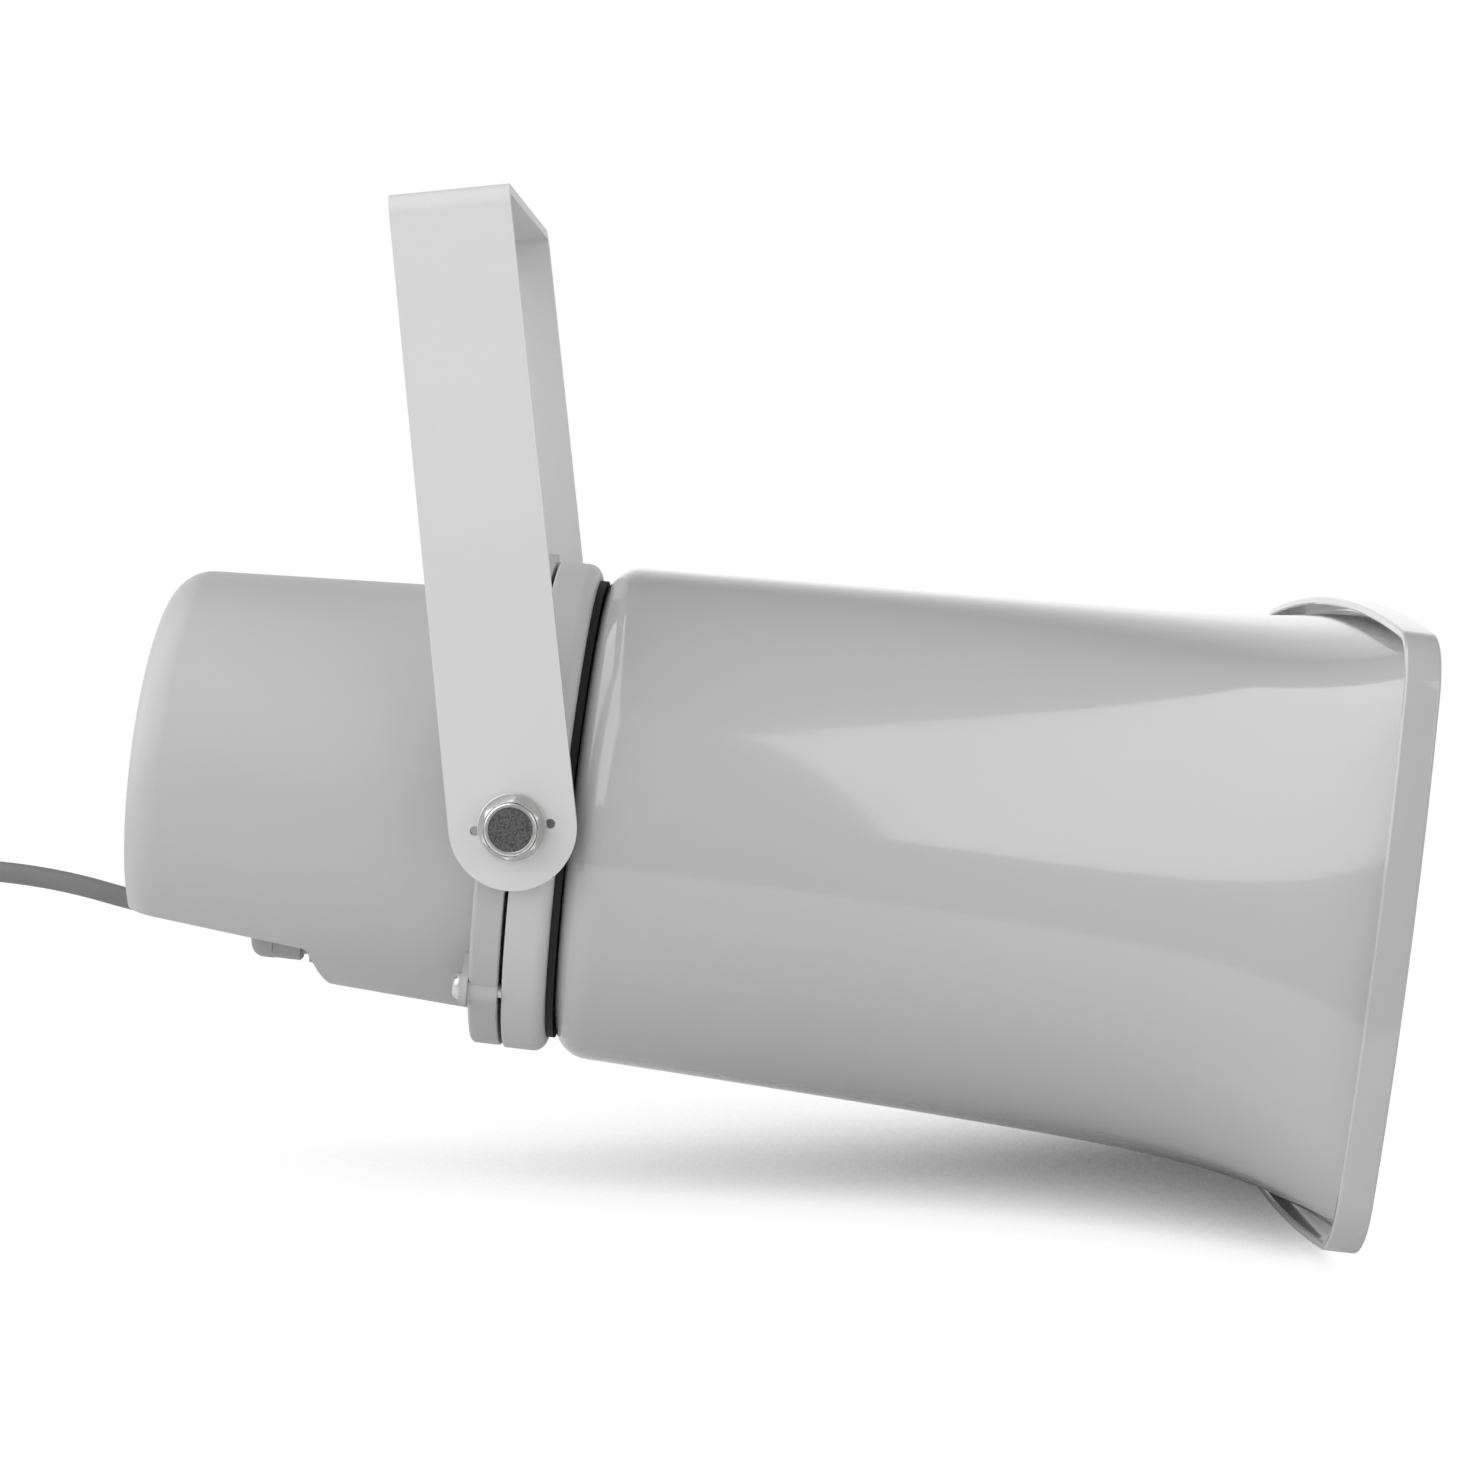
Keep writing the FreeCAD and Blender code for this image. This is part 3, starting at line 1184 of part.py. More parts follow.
def cable_cores():
    """Two insulated cores with bare tips, out of the end of the sheath."""
    start = tail_start()
    x = start.x + TAIL_LENGTH
    solids = []
    for side in (-1, 1):
        lean = radians(side * CORE_SPREAD)
        way = V(cos(lean), sin(lean), 0)
        base = V(x, start.y + side * CORE_APART, start.z)
        core = Part.makeCylinder(CORE_WIRE_R, CORE_WIRE_LENGTH, base, way)
        tip = Part.makeCylinder(CORE_TIP_R, CORE_WIRE_LENGTH + CORE_TIP_LENGTH, base, way)
        solids.append(core.fuse(tip))
    return Part.makeCompound(solids)


export("bracket", bracket())
for hand, turn_over in (("left", lambda s: s), ("right", near_side)):
    export("pivot_bolt_" + hand, hang_in_bracket(turn_over(pivot_bolt())))
    export("pivot_washer_" + hand, hang_in_bracket(turn_over(pivot_washer())))
    export("pivot_bush_" + hand, hang_in_bracket(turn_over(pivot_bush())))

HORN_NODES = {
    "mounting_collar": mounting_collar,
    "bell_gasket": gasket,
    "cover_seal": cover_seal,
    "horn_bell": horn_bell,
    "bell_screws": bell_screws,
    "tone_tube": tone_tube,
    "reflector": reflector,
    "reflector_screw": reflector_screw,
    "rear_cover": rear_cover,
    "cover_screws": cover_screws,
    "driver_head": driver_head,
    "driver_fixings": driver_fixings,
    "phase_plug": phase_plug,
    "diaphragm": diaphragm,
    "voice_coil": voice_coil,
    "top_plate": top_plate,
    "magnet": magnet,
    "pole_yoke": pole_yoke,
    "driver_screws": driver_screws,
    "transformer_core": transformer_core,
    "transformer_winding": transformer_winding,
    "transformer_frame": transformer_frame,
    "transformer_screws": transformer_screws,
    "selector_switch": selector_switch,
    "selector_knob": selector_knob,
    "gland_body": gland_body,
    "gland_nut": gland_nut,
    "gland_seal": gland_seal,
    "gland_locknut": gland_locknut,
    "cable_tail": cable_tail,
}
for node, build in HORN_NODES.items():
    export(node, hang_in_bracket(build()))

export("cable", tube_along(cable_points(), CABLE_R))
export("cable_coil", cable_coil())
export("cable_tie", cable_tie())
export("cable_end", cable_end())
export("cable_cores", cable_cores())
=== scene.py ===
# PA horn speaker: camera, lead, moulded bell, bolts, finishes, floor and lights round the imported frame.
import json
import math
import bpy
import numpy as np
from mathutils import Matrix, Vector


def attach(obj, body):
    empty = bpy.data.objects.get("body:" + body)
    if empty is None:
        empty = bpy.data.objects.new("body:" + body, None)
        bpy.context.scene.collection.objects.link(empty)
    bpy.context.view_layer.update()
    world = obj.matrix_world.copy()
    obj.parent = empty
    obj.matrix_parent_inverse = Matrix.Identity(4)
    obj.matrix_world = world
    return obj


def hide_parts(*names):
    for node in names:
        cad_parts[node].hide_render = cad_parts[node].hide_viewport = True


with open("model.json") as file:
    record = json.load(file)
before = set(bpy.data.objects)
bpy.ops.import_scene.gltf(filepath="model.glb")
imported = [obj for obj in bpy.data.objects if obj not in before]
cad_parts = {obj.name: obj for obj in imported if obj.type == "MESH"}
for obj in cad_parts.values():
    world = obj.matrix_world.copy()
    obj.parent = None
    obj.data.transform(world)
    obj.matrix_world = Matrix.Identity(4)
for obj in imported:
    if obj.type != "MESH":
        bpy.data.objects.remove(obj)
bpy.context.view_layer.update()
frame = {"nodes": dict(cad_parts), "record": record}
nodes = frame["nodes"]
print("frame loaded with", len(nodes), "nodes")

# The horn's own frame: level, x along its axis towards the mouth, origin on the tilt axis
hangSet = {"tilt": 12.26, "drop": 155.7}


def hang(points):
    # Turns millimetre points of the horn frame down by the tilt and lowers them: metres in the row frame.
    turn = math.radians(hangSet["tilt"])
    x, y, z = points[..., 0], points[..., 1], points[..., 2]
    hung = (x * math.cos(turn) + z * math.sin(turn), y,
            z * math.cos(turn) - x * math.sin(turn) - hangSet["drop"])
    return np.stack(hung, -1) / 1000.0


# Camera

cameraSet = {
    "place": (0.07184, -0.88235, -0.08817),
    "right": (0.995242, 0.013104, -0.096542),
    "up": (0.095532, 0.063267, 0.993413),
    "lens": 81.88,
    "sensor": 36.0,
}


def addCamera(settings):
    # Its axes are the columns of its matrix: right, up, and their cross product, which points backwards.
    right, up = Vector(settings["right"]), Vector(settings["up"])
    data = bpy.data.cameras.new("sideView")
    data.lens = settings["lens"]
    data.sensor_width = settings["sensor"]
    camera = bpy.data.objects.new("sideView", data)
    turn = Matrix((right, up, right.cross(up))).transposed().to_4x4()
    camera.matrix_world = Matrix.Translation(settings["place"]) @ turn
    bpy.context.scene.collection.objects.link(camera)
    bpy.context.scene.camera = camera


addCamera(cameraSet)
print("camera placed")


# Shader maths

class Wire:
    # One output socket: plain arithmetic on it adds Math nodes.
    def __init__(self, finish, socket):
        self.finish = finish
        self.socket = socket

    def maths(self, operation, *values):
        ins = {place: value for place, value in enumerate(values)}
        return self.finish.node("ShaderNodeMath", {"operation": operation}, ins)

    def __add__(self, other):
        return self.maths("ADD", self, other)

    def __mul__(self, other):
        return self.maths("MULTIPLY", self, other)

    def __pow__(self, other):
        return self.maths("POWER", self, other)

    def __gt__(self, other):
        return self.maths("GREATER_THAN", self, other)

    def __lt__(self, other):
        return self.maths("LESS_THAN", self, other)

    __radd__ = __add__
    __rmul__ = __mul__


class Finish:
    # A material with one Principled shader, and short ways to add what feeds it.
    def __init__(self, name, fixed):
        self.material = bpy.data.materials.new(name)
        self.material.use_nodes = True
        self.tree = self.material.node_tree
        self.tree.nodes.clear()
        self.shader = self.tree.nodes.new("ShaderNodeBsdfPrincipled")
        output = self.tree.nodes.new("ShaderNodeOutputMaterial")
        self.tree.links.new(self.shader.outputs["BSDF"], output.inputs["Surface"])
        for place, value in fixed.items():
            self.put(self.shader.inputs[place], value)
        self.place = self.node("ShaderNodeTexCoord", out="Object")

    def put(self, socket, value):
        if isinstance(value, Wire):
            self.tree.links.new(value.socket, socket)
        else:
            socket.default_value = value

    def node(self, kind, settings=None, ins=None, out=0):
        made = self.tree.nodes.new(kind)
        for name, value in (settings or {}).items():
            if name == "stops":
                self.setStops(made.color_ramp, value)
            else:
                setattr(made, name, value)
        for place, value in (ins or {}).items():
            self.put(made.inputs[place], value)
        return Wire(self, made.outputs[out])

    def setStops(self, ramp, stops):
        while len(ramp.elements) < len(stops):
            ramp.elements.new(1.0)
        for element, (position, level) in zip(ramp.elements, stops):
            element.position = position
            element.color = (level, level, level, 1)

    def feed(self, place, value):
        self.put(self.shader.inputs[place], value)

    def axis(self, name):
        return self.node("ShaderNodeSeparateXYZ", ins={"Vector": self.place}, out=name)

    def stretched(self, scale, turn=(0, 0, 0)):
        ins = {"Vector": self.place, "Scale": scale, "Rotation": turn}
        return self.node("ShaderNodeMapping", ins=ins)

    def noise(self, scale, detail=2.0, rough=0.5, place=None):
        ins = {"Vector": place or self.place, "Scale": scale, "Detail": detail, "Roughness": rough}
        return self.node("ShaderNodeTexNoise", ins=ins, out="Fac")

    def cells(self, scale):
        return self.node("ShaderNodeTexVoronoi", ins={"Vector": self.place, "Scale": scale}, out="Distance")

    def bands(self, scale, way, warp=0.0):
        ins = {"Vector": self.place, "Scale": scale, "Distortion": warp}
        return self.node("ShaderNodeTexWave", {"bands_direction": way}, ins, out="Fac")

    def ramp(self, value, stops):
        return self.node("ShaderNodeValToRGB", {"stops": stops}, {"Fac": value})

    def blend(self, share, low, high):
        return self.node("ShaderNodeMix", {"data_type": "RGBA"}, {0: share, 6: low, 7: high}, out=2)

    def bump(self, height, distance, strength=1.0, under=None):
        ins = {"Height": height, "Distance": distance, "Strength": strength}
        if under is not None:
            ins["Normal"] = under
        return self.node("ShaderNodeBump", ins=ins)


def shade(colour, factor):
    # The colour made lighter or darker by a factor, with its alpha.
    return tuple(min(1.0, part * factor) for part in colour) + (1.0,)


# Free lead, in metres: route, coil and straight end, the same points as the solid

leadSet = {
    "radius": 0.00275,
    "route": [
        (-0.07745, 0.0, -0.18089),
        (-0.103, 0.0, -0.1735),
        (-0.129, 0.0, -0.163),
        (-0.160, 0.0, -0.157),
        (-0.190, 0.0, -0.165),
        (-0.211, 0.0, -0.189),
        (-0.219, 0.0, -0.219),
        (-0.228, 0.0, -0.247),
        (-0.252, 0.0, -0.26836),
    ],
    "coilCentre": (-0.274, 0.03275, -0.27111),
    "coilRadius": 0.030,
    "coilTurns": 3.5,
    "pointsPerTurn": 24,
    "cornersOut": (1, -1, -1, 1),
    "cornersUp": (1, 1, -1, -1),
    "bulgeOut": (0.0, -0.75, 0.0),
    "bulgeUp": (0.42, 0.0, 0.0),
    "crossing": 270.0,
    "crossingSpread": 90.0,
    "end": [(-0.262, 0.0655, -0.27386), (-0.248, 0.0655, -0.27386), (-0.2323, 0.0655, -0.27386)],
    "length": 0.95,
    "roundSteps": 5,
    "stepsPerPoint": 8,
    "coreSplitY": 0.0655,
    "bareX": -0.2126,
}


def coilPoints(lead):
    # Clockwise turns from the south. At each crossing in the east the lead moves on to the bundle's next
    # corner, along a smooth step (3 t^2 - 2 t^3) with a small sine bulge, so that the turns never meet.
    radius = lead["radius"]
    angles = np.arange(0.0, 360.0 * lead["coilTurns"] + 1, 360.0 / lead["pointsPerTurn"])
    out = np.full(len(angles), float(lead["cornersOut"][0]))
    up = np.full(len(angles), float(lead["cornersUp"][0]))
    for k in range(len(lead["cornersOut"]) - 1):
        share = (angles - lead["crossing"] - 360.0 * k) / lead["crossingSpread"] + 0.5
        share = np.clip(share, 0, 1)
        step = share * share * (3 - 2 * share)
        swell = np.sin(np.pi * step)
        out += (lead["cornersOut"][k + 1] - lead["cornersOut"][k]) * step + lead["bulgeOut"][k] * swell
        up += (lead["cornersUp"][k + 1] - lead["cornersUp"][k]) * step + lead["bulgeUp"][k] * swell
    away = lead["coilRadius"] + out * radius
    turn = np.radians(-90.0 - angles)
    centre = lead["coilCentre"]
    return np.stack([centre[0] + away * np.cos(turn), centre[1] + away * np.sin(turn),
                     centre[2] + up * radius], -1)


def addLead(lead):
    # The lead's thickness is in its points' radius, which a curve's box counts in.
    points = np.vstack([lead["route"], coilPoints(lead), lead["end"]])
    curve = bpy.data.curves.new("speakerLead", "CURVE")
    curve.dimensions = "3D"
    curve.bevel_depth = 1.0
    curve.bevel_resolution = lead["roundSteps"]
    curve.resolution_u = lead["stepsPerPoint"]
    curve.use_fill_caps = True
    spline = curve.splines.new("NURBS")
    spline.points.add(len(points) - 1)
    spline.points.foreach_set("co", np.column_stack([points, np.ones(len(points))]).ravel())
    spline.points.foreach_set("radius", np.full(len(points), lead["radius"]))
    spline.order_u = 3
    spline.use_endpoint_u = True
    piece = bpy.data.objects.new("speakerLead", curve)
    bpy.context.scene.collection.objects.link(piece)
    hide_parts("cable", "cable_coil", "cable_end")
    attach(piece, "horn")
    return piece


speakerLead = addLead(leadSet)
print("lead laid")


# Moulded surfaces

def addGrid(name, rows, closeAlong=False, sharp=30.0):
    # A grid of points (rows, around, 3) becomes quads. Each row closes on itself, and closeAlong also joins
    # the last row to the first.
    count, around = rows.shape[:2]
    index = np.arange(count * around).reshape(count, around)
    if closeAlong:
        index = np.vstack([index, index[:1]])
    index = np.hstack([index, index[:, :1]])
    quads = np.stack([index[:-1, :-1], index[:-1, 1:], index[1:, 1:], index[1:, :-1]], -1)
    return addMesh(name, rows.reshape(-1, 3), quads.reshape(-1, 4).tolist(), sharp)


def addMesh(name, points, faces, sharp=30.0):
    # Smooth faces, with the edges that bend by more than the sharp angle kept crisp.
    mesh = bpy.data.meshes.new(name)
    mesh.from_pydata(points.tolist(), [], faces)
    mesh.polygons.foreach_set("use_smooth", np.ones(len(mesh.polygons), bool))
    mesh.set_sharp_from_angle(angle=math.radians(sharp))
    mesh.update()
    piece = bpy.data.objects.new(name, mesh)
    bpy.context.scene.collection.objects.link(piece)
    return piece


def faceOutwards(piece):
    # Turns the faces of a closed mesh round if its volume, summed over fans of each face, is negative.
    mesh = piece.data
    mesh.calc_loop_triangles()
    corners = np.zeros(len(mesh.loop_triangles) * 3, np.int32)
    mesh.loop_triangles.foreach_get("vertices", corners)
    places = np.zeros(len(mesh.vertices) * 3)
    mesh.vertices.foreach_get("co", places)
    tri = places.reshape(-1, 3)[corners.reshape(-1, 3)]
    volume = np.einsum("ij,ij->i", tri[:, 0], np.cross(tri[:, 1], tri[:, 2])).sum() / 6
    if volume < 0:
        mesh.flip_normals()
    return piece


def joined(name, pieces):
    # One object from several loose shells.
    points, faces, start = [], [], 0
    for piece in pieces:
        mesh = piece.data
        places = np.zeros(len(mesh.vertices) * 3)
        mesh.vertices.foreach_get("co", places)
        points.append(places.reshape(-1, 3))
        faces += [[start + corner for corner in polygon.vertices] for polygon in mesh.polygons]
        start += len(mesh.vertices)
        bpy.data.objects.remove(piece)
    return addMesh(name, np.vstack(points), faces)


# Bell, all sizes in millimetres of the horn frame

bellSet = {
    "rearX": 13.1, "mouthX": 211.0, "loftX": 30.1, "taperX": 22.1,
    "radius": 65.3, "taper": 0.036, "wall": 2.5, "rearWall": 3.2, "rearRound": 9.0, "hole": 13.05,
    "flareSide": 47.0, "flareSidePower": 2.3, "flareTop": 4.5, "flareTopPower": 10.6,
    "squarePower": 3.9, "corner": 16.5, "roundTurn": 25.0, "sideTurn": 9.6, "topTurn": 6.0,
    "lipWidth": 120.9, "lipHeight": 78.9, "lipDepth": 8.3, "lipThick": 2.0, "lipFront": 2.6,
    "lipRound": 0.8, "innerRound": 1.0,
    "rearFlat": 34.0, "lipBackRound": 0.4, "crowding": 1.25, "firstStation": 1.0,
    "stations": 64, "sideSteps": 10, "cornerSteps": 14, "topSteps": 9, "roundSteps": 9,
    "posts": 4, "postSides": 32, "bossCircle": 47.0, "boss": 5.0, "bossHole": 2.55, "bossHeight": 8.0,
    "bossSunk": 1.0, "bossChamfer": 0.5,
}


def crownedLoop(halfWidth, halfHeight, corner, sideTurn, topTurn, bell):
    # Eight tangent arcs: shallow ones along the sides, top and bottom, and tight ones at the corners.
    # The inputs are columns with one row for each loop, and the result is (loops, points, y and z).
    # Less the corner's radius, the shallow arcs' radii solve two sums: side radius x side in + top radius x
    # top run = wide, and side radius x side run + top radius x top in = high. A run is the sine of an arc's
    # turn, and an in is one minus its cosine.
    sideIn, topRun = 1 - np.cos(sideTurn), np.sin(topTurn)
    sideRun, topIn = np.sin(sideTurn), 1 - np.cos(topTurn)
    wide, high = halfWidth - corner, halfHeight - corner
    whole = sideIn * topIn - topRun * sideRun
    sideCore = (wide * topIn - topRun * high) / whole
    topCore = (sideIn * high - sideRun * wide) / whole
    sideR, topR = sideCore + corner, topCore + corner
    cornerY = halfWidth - sideR + sideCore * np.cos(sideTurn)
    cornerZ = sideCore * np.sin(sideTurn)
    quarter = np.pi / 2
    sides = np.linspace(0, 1, bell["sideSteps"], endpoint=False) * sideTurn
    bends = sideTurn + np.linspace(0, 1, bell["cornerSteps"], endpoint=False) * (quarter - topTurn - sideTurn)
    tops = quarter - topTurn + np.linspace(0, 1, bell["topSteps"]) * topTurn
    y = np.hstack([halfWidth - sideR + sideR * np.cos(sides),
                   cornerY + corner * np.cos(bends),
                   topR * np.cos(tops)])
    z = np.hstack([sideR * np.sin(sides),
                   cornerZ + corner * np.sin(bends),
                   halfHeight - topR + topR * np.sin(tops)])
    y[:, -1] = 0
    loopY = np.hstack([y, -y[:, -2::-1], -y[:, 1:], y[:, -2:0:-1]])
    loopZ = np.hstack([z, z[:, -2::-1], -z[:, 1:], -z[:, -2:0:-1]])
    return np.stack([loopY, loopZ], -1)


def withX(x, loops):
    # Puts each loop's place along the horn before its points' y and z.
    along = np.broadcast_to(np.asarray(x, float).reshape(-1, 1, 1), loops.shape[:2] + (1,))
    return np.concatenate([along, loops], -1)


def column(values):
    # A list of values as one column, a row for each loop.
    return np.asarray(values, float).reshape(-1, 1)


def bellLoops(x, inset, bell):
    # From a circle to a crowned rectangle. Half the width and half the height are a cone's radius plus a
    # power of the share of the way to the mouth, and another power blends the corner's radius and the turns.
    x, inset = column(x), column(inset)
    share = np.clip((x - bell["loftX"]) / (bell["mouthX"] - bell["loftX"]), 0, 1)
    square = share ** bell["squarePower"]
    base = bell["radius"] + bell["taper"] * (x - bell["taperX"])
    halfWidth = base + bell["flareSide"] * share ** bell["flareSidePower"] - inset
    halfHeight = base + bell["flareTop"] * share ** bell["flareTopPower"] - inset
    corner = (1 - square) * (halfHeight + inset) + square * bell["corner"] - inset
    sideTurn = np.radians(bell["roundTurn"] + (bell["sideTurn"] - bell["roundTurn"]) * square)
    topTurn = np.radians(bell["roundTurn"] + (bell["topTurn"] - bell["roundTurn"]) * square)
    return withX(x, crownedLoop(halfWidth, halfHeight, corner, sideTurn, topTurn, bell))


def roundLoops(x, radius, bell):
    # Circles, with their points in the same order as the bell's other loops.
    radius = column(radius)
    turn = np.full_like(radius, math.radians(bell["roundTurn"]))
    return withX(x, crownedLoop(radius, radius, radius, turn, turn, bell))


def lipLoops(x, inset, bell):
    # The lip's outline, drawn in by an inset.
    inset = column(inset)
    side = np.full_like(inset, math.radians(bell["sideTurn"]))
    top = np.full_like(inset, math.radians(bell["topTurn"]))
    wide, high = bell["lipWidth"] - inset, bell["lipHeight"] - inset
    return withX(x, crownedLoop(wide, high, bell["corner"] - inset, side, top, bell))


def quarterTurn(steps):
    # The rise and drop along a quarter of a round with radius one: sine, and one minus cosine.
    turn = np.linspace(0, np.pi / 2, steps)
    return np.sin(turn), 1 - np.cos(turn)


def bellSkin(bell):
    # One skin that runs out along the outside, round the folded lip, and back along the inside.
    rise, drop = quarterTurn(bell["roundSteps"])
    outerR = bell["radius"] - bell["rearRound"] * (1 - rise)
    outerX = bell["rearX"] + bell["rearRound"] * drop
    firstX, lipBack = bell["taperX"] + bell["firstStation"], bell["mouthX"] - bell["lipFront"]
    bias = 1 - (1 - np.linspace(0, 1, bell["stations"])) ** bell["crowding"]  # closer together at the mouth
    outer = firstX + bias * (lipBack - firstX)
    foldX, foldR = bell["mouthX"] - bell["lipDepth"], bell["lipBackRound"]
    lipX = np.array([lipBack, foldX + foldR, foldX, foldX, foldX + foldR])
    lipInset = np.array([bell["lipThick"], bell["lipThick"], bell["lipThick"] - foldR, foldR, 0.0])
    frontX = bell["mouthX"] - bell["lipRound"] + bell["lipRound"] * rise[::2]
    frontInset = bell["lipRound"] * drop[::2]
    edgeX = bell["mouthX"] - bell["innerRound"] * drop[::2]
    edgeInset = bell["wall"] - bell["innerRound"] * (1 - rise[::2])
    innerRound = bell["rearRound"] - bell["wall"]
    wallX = bell["rearX"] + bell["rearWall"]
    innerEnd = bell["radius"] - bell["wall"]
    rows = [
        roundLoops([bell["rearX"]] * 2, [bell["hole"], bell["rearFlat"]], bell),
        roundLoops(outerX, outerR, bell),
        bellLoops(outer, np.zeros(len(outer)), bell),
        lipLoops(lipX, lipInset, bell),
        lipLoops(frontX, frontInset, bell),
        bellLoops(edgeX, edgeInset, bell),
        bellLoops(outer[::-1], np.full(len(outer), bell["wall"]), bell),
        roundLoops(wallX + innerRound * drop[::-1], innerEnd - innerRound * (1 - rise[::-1]), bell),
        roundLoops([wallX] * 2, [bell["rearFlat"], bell["hole"]], bell),
    ]
    return faceOutwards(addGrid("bellSkin", hang(np.vstack(rows)), closeAlong=True))


def bellPost(k, bell):
    # A hollow screw post on the inside of the rear wall: a closed profile of x and radius, turned round
    # its middle.
    around = np.linspace(0, 2 * np.pi, bell["postSides"], endpoint=False)
    even = np.ones(len(around))
    centreY = bell["bossCircle"] * math.sin(k * 2 * math.pi / bell["posts"])
    centreZ = bell["bossCircle"] * math.cos(k * 2 * math.pi / bell["posts"])
    wallX = bell["rearX"] + bell["rearWall"]
    footX, topX, edge = wallX - bell["bossSunk"], wallX + bell["bossHeight"], bell["bossChamfer"]
    profile = [(footX, bell["boss"]), (topX - edge, bell["boss"]), (topX, bell["boss"] - edge),
               (topX, bell["bossHole"]), (footX, bell["bossHole"])]
    loops = [np.stack([x * even, centreY + r * np.cos(around), centreZ + r * np.sin(around)], -1)
             for x, r in profile]
    return faceOutwards(addGrid("bellPost", hang(np.array(loops)), closeAlong=True))


def addBell(bell):
    # The skin and its posts are one piece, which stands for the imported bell.
    posts = [bellPost(k, bell) for k in range(bell["posts"])]
    piece = joined("bellShell", [bellSkin(bell)] + posts)
    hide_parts("horn_bell")
    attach(piece, "horn")
    return piece


bellShell = addBell(bellSet)
print("bell moulded")


# Tilt bolts: hexagon head with turned chamfer, raised rim and a pressed face

boltSet = {
    "flats": 13.0, "height": 5.3, "chamferTurn": 30.0, "faceShare": 0.94, "dish": 0.28, "rim": 0.5,
    "rimFall": 0.25, "innerRing": 0.5, "underShare": 0.985, "underEdge": 0.3,
    "chamferDepth": 1.1, "chamferRings": 8, "pinch": 0.02,
    "around": 120, "headY": 71.7, "shank": 4.0, "reach": 14.0, "pitch": 1.25, "thread": 0.45,
    "ringsPerTurn": 6, "darkFromY": 76.65, "darkToY": 76.8,
}


def addBolt(name, side, node, bolt):
    # One grid of rings, from the shank's tip to the middle of the face. The shank's radius swings as a
    # cosine, once for each turn of its thread. The head's radius is the hexagon's, half the flats over the
    # cosine of the turn from the nearest flat, cut by the chamfer's cone. The rim and the dish come last.
    turn = np.linspace(0, 2 * np.pi, bolt["around"], endpoint=False)
    even = np.ones(len(turn))
    half, top = bolt["flats"] / 2, bolt["height"]
    hexagon = half / np.cos((turn + np.pi / 6) % (np.pi / 3) - np.pi / 6)
    slope = math.tan(math.radians(bolt["chamferTurn"]))
    face = half * bolt["faceShare"]
    rimInner, dishHeight = face - bolt["rim"], top - bolt["dish"]
    shankRings = int(bolt["reach"] / bolt["pitch"] * bolt["ringsPerTurn"]) + 1
    rings = [(-bolt["reach"], bolt["pinch"] * even)]
    for depth in np.linspace(-bolt["reach"], 0.0, shankRings):
        swing = 0.5 + 0.5 * np.cos(2 * np.pi * depth / bolt["pitch"] - turn)
        rings.append((depth, bolt["shank"] - bolt["thread"] * swing))
    rings += [(0.0, hexagon * bolt["underShare"]), (bolt["underEdge"], hexagon)]
    for height in np.linspace(top - bolt["chamferDepth"], top, bolt["chamferRings"]):
        rings.append((height, np.minimum(hexagon, face + (top - height) / slope)))
    rings += [(top, rimInner * even), (dishHeight, (rimInner - bolt["rimFall"]) * even),
              (dishHeight, face * bolt["innerRing"] * even), (dishHeight, bolt["pinch"] * even)]
    rows = np.stack([np.stack([radius * np.cos(turn), side * (bolt["headY"] + height) * even,
                               radius * np.sin(turn)], -1) for height, radius in rings])
    piece = faceOutwards(addGrid(name, hang(rows), sharp=24.0))
    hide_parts(node)
    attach(piece, "horn")
    return piece


tiltBolts = [
    addBolt("tiltBoltFar", 1, "pivot_bolt_left", boltSet),
    addBolt("tiltBoltNear", -1, "pivot_bolt_right", boltSet),
]
print("bolts turned")


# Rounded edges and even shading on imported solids, each with its bevel's width in millimetres

edgeSet = {
    "bracket": 0.45, "rear_cover": 0.5, "mounting_collar": 0.35, "tone_tube": 0.4, "reflector": 0.3,
    "gland_nut": 0.35, "gland_body": 0.3, "cover_screws": 0.15, "reflector_screw": 0.2, "selector_knob": 0.25,
    "pivot_washer_left": 0.25, "pivot_washer_right": 0.25, "pivot_bush_left": 0.3, "pivot_bush_right": 0.3,
    "cable_tie": 0.3, "transformer_winding": 0.4, "transformer_core": 0.2, "magnet": 0.3,
}
roundingSet = {"weld": 2e-6, "flatTurn": 0.5, "sharpTurn": 38.0, "steps": 2}
for name, width in edgeSet.items():
    body = nodes[name]
    body.data.polygons.foreach_set("use_smooth", np.ones(len(body.data.polygons), bool))
    weld = body.modifiers.new("weld", "WELD")
    weld.merge_threshold = roundingSet["weld"]
    flats = body.modifiers.new("flats", "DECIMATE")
    flats.decimate_type = "DISSOLVE"
    flats.angle_limit = math.radians(roundingSet["flatTurn"])
    bevel = body.modifiers.new("edges", "BEVEL")
    bevel.width = width / 1000.0
    bevel.segments = roundingSet["steps"]
    bevel.limit_method = "ANGLE"
    bevel.angle_limit = math.radians(roundingSet["sharpTurn"])
    even = body.modifiers.new("even", "WEIGHTED_NORMAL")
    even.keep_sharp = True
print("edges rounded")


# Finishes

def powderCoat(name, colour):
    # Baked powder: fine orange peel, a few pin specks, slightly cloudy gloss.
    finish = Finish(name, {"Specular IOR Level": 0.5})
    peel = finish.noise(scale=900, detail=3, rough=0.55)
    cloud = finish.noise(scale=22)
    speck = finish.ramp(finish.cells(scale=420), stops=[(0.0, 0.0), (0.09, 1.0)])
    tone = finish.blend(cloud, shade(colour, 0.97), shade(colour, 1.03))
    finish.feed("Base Color", finish.blend(speck, shade(colour, 0.93), tone))
    finish.feed("Roughness", 0.36 + cloud * 0.12)
    finish.feed("Normal", finish.bump(peel, distance=0.00012, strength=0.35))
    return finish.material


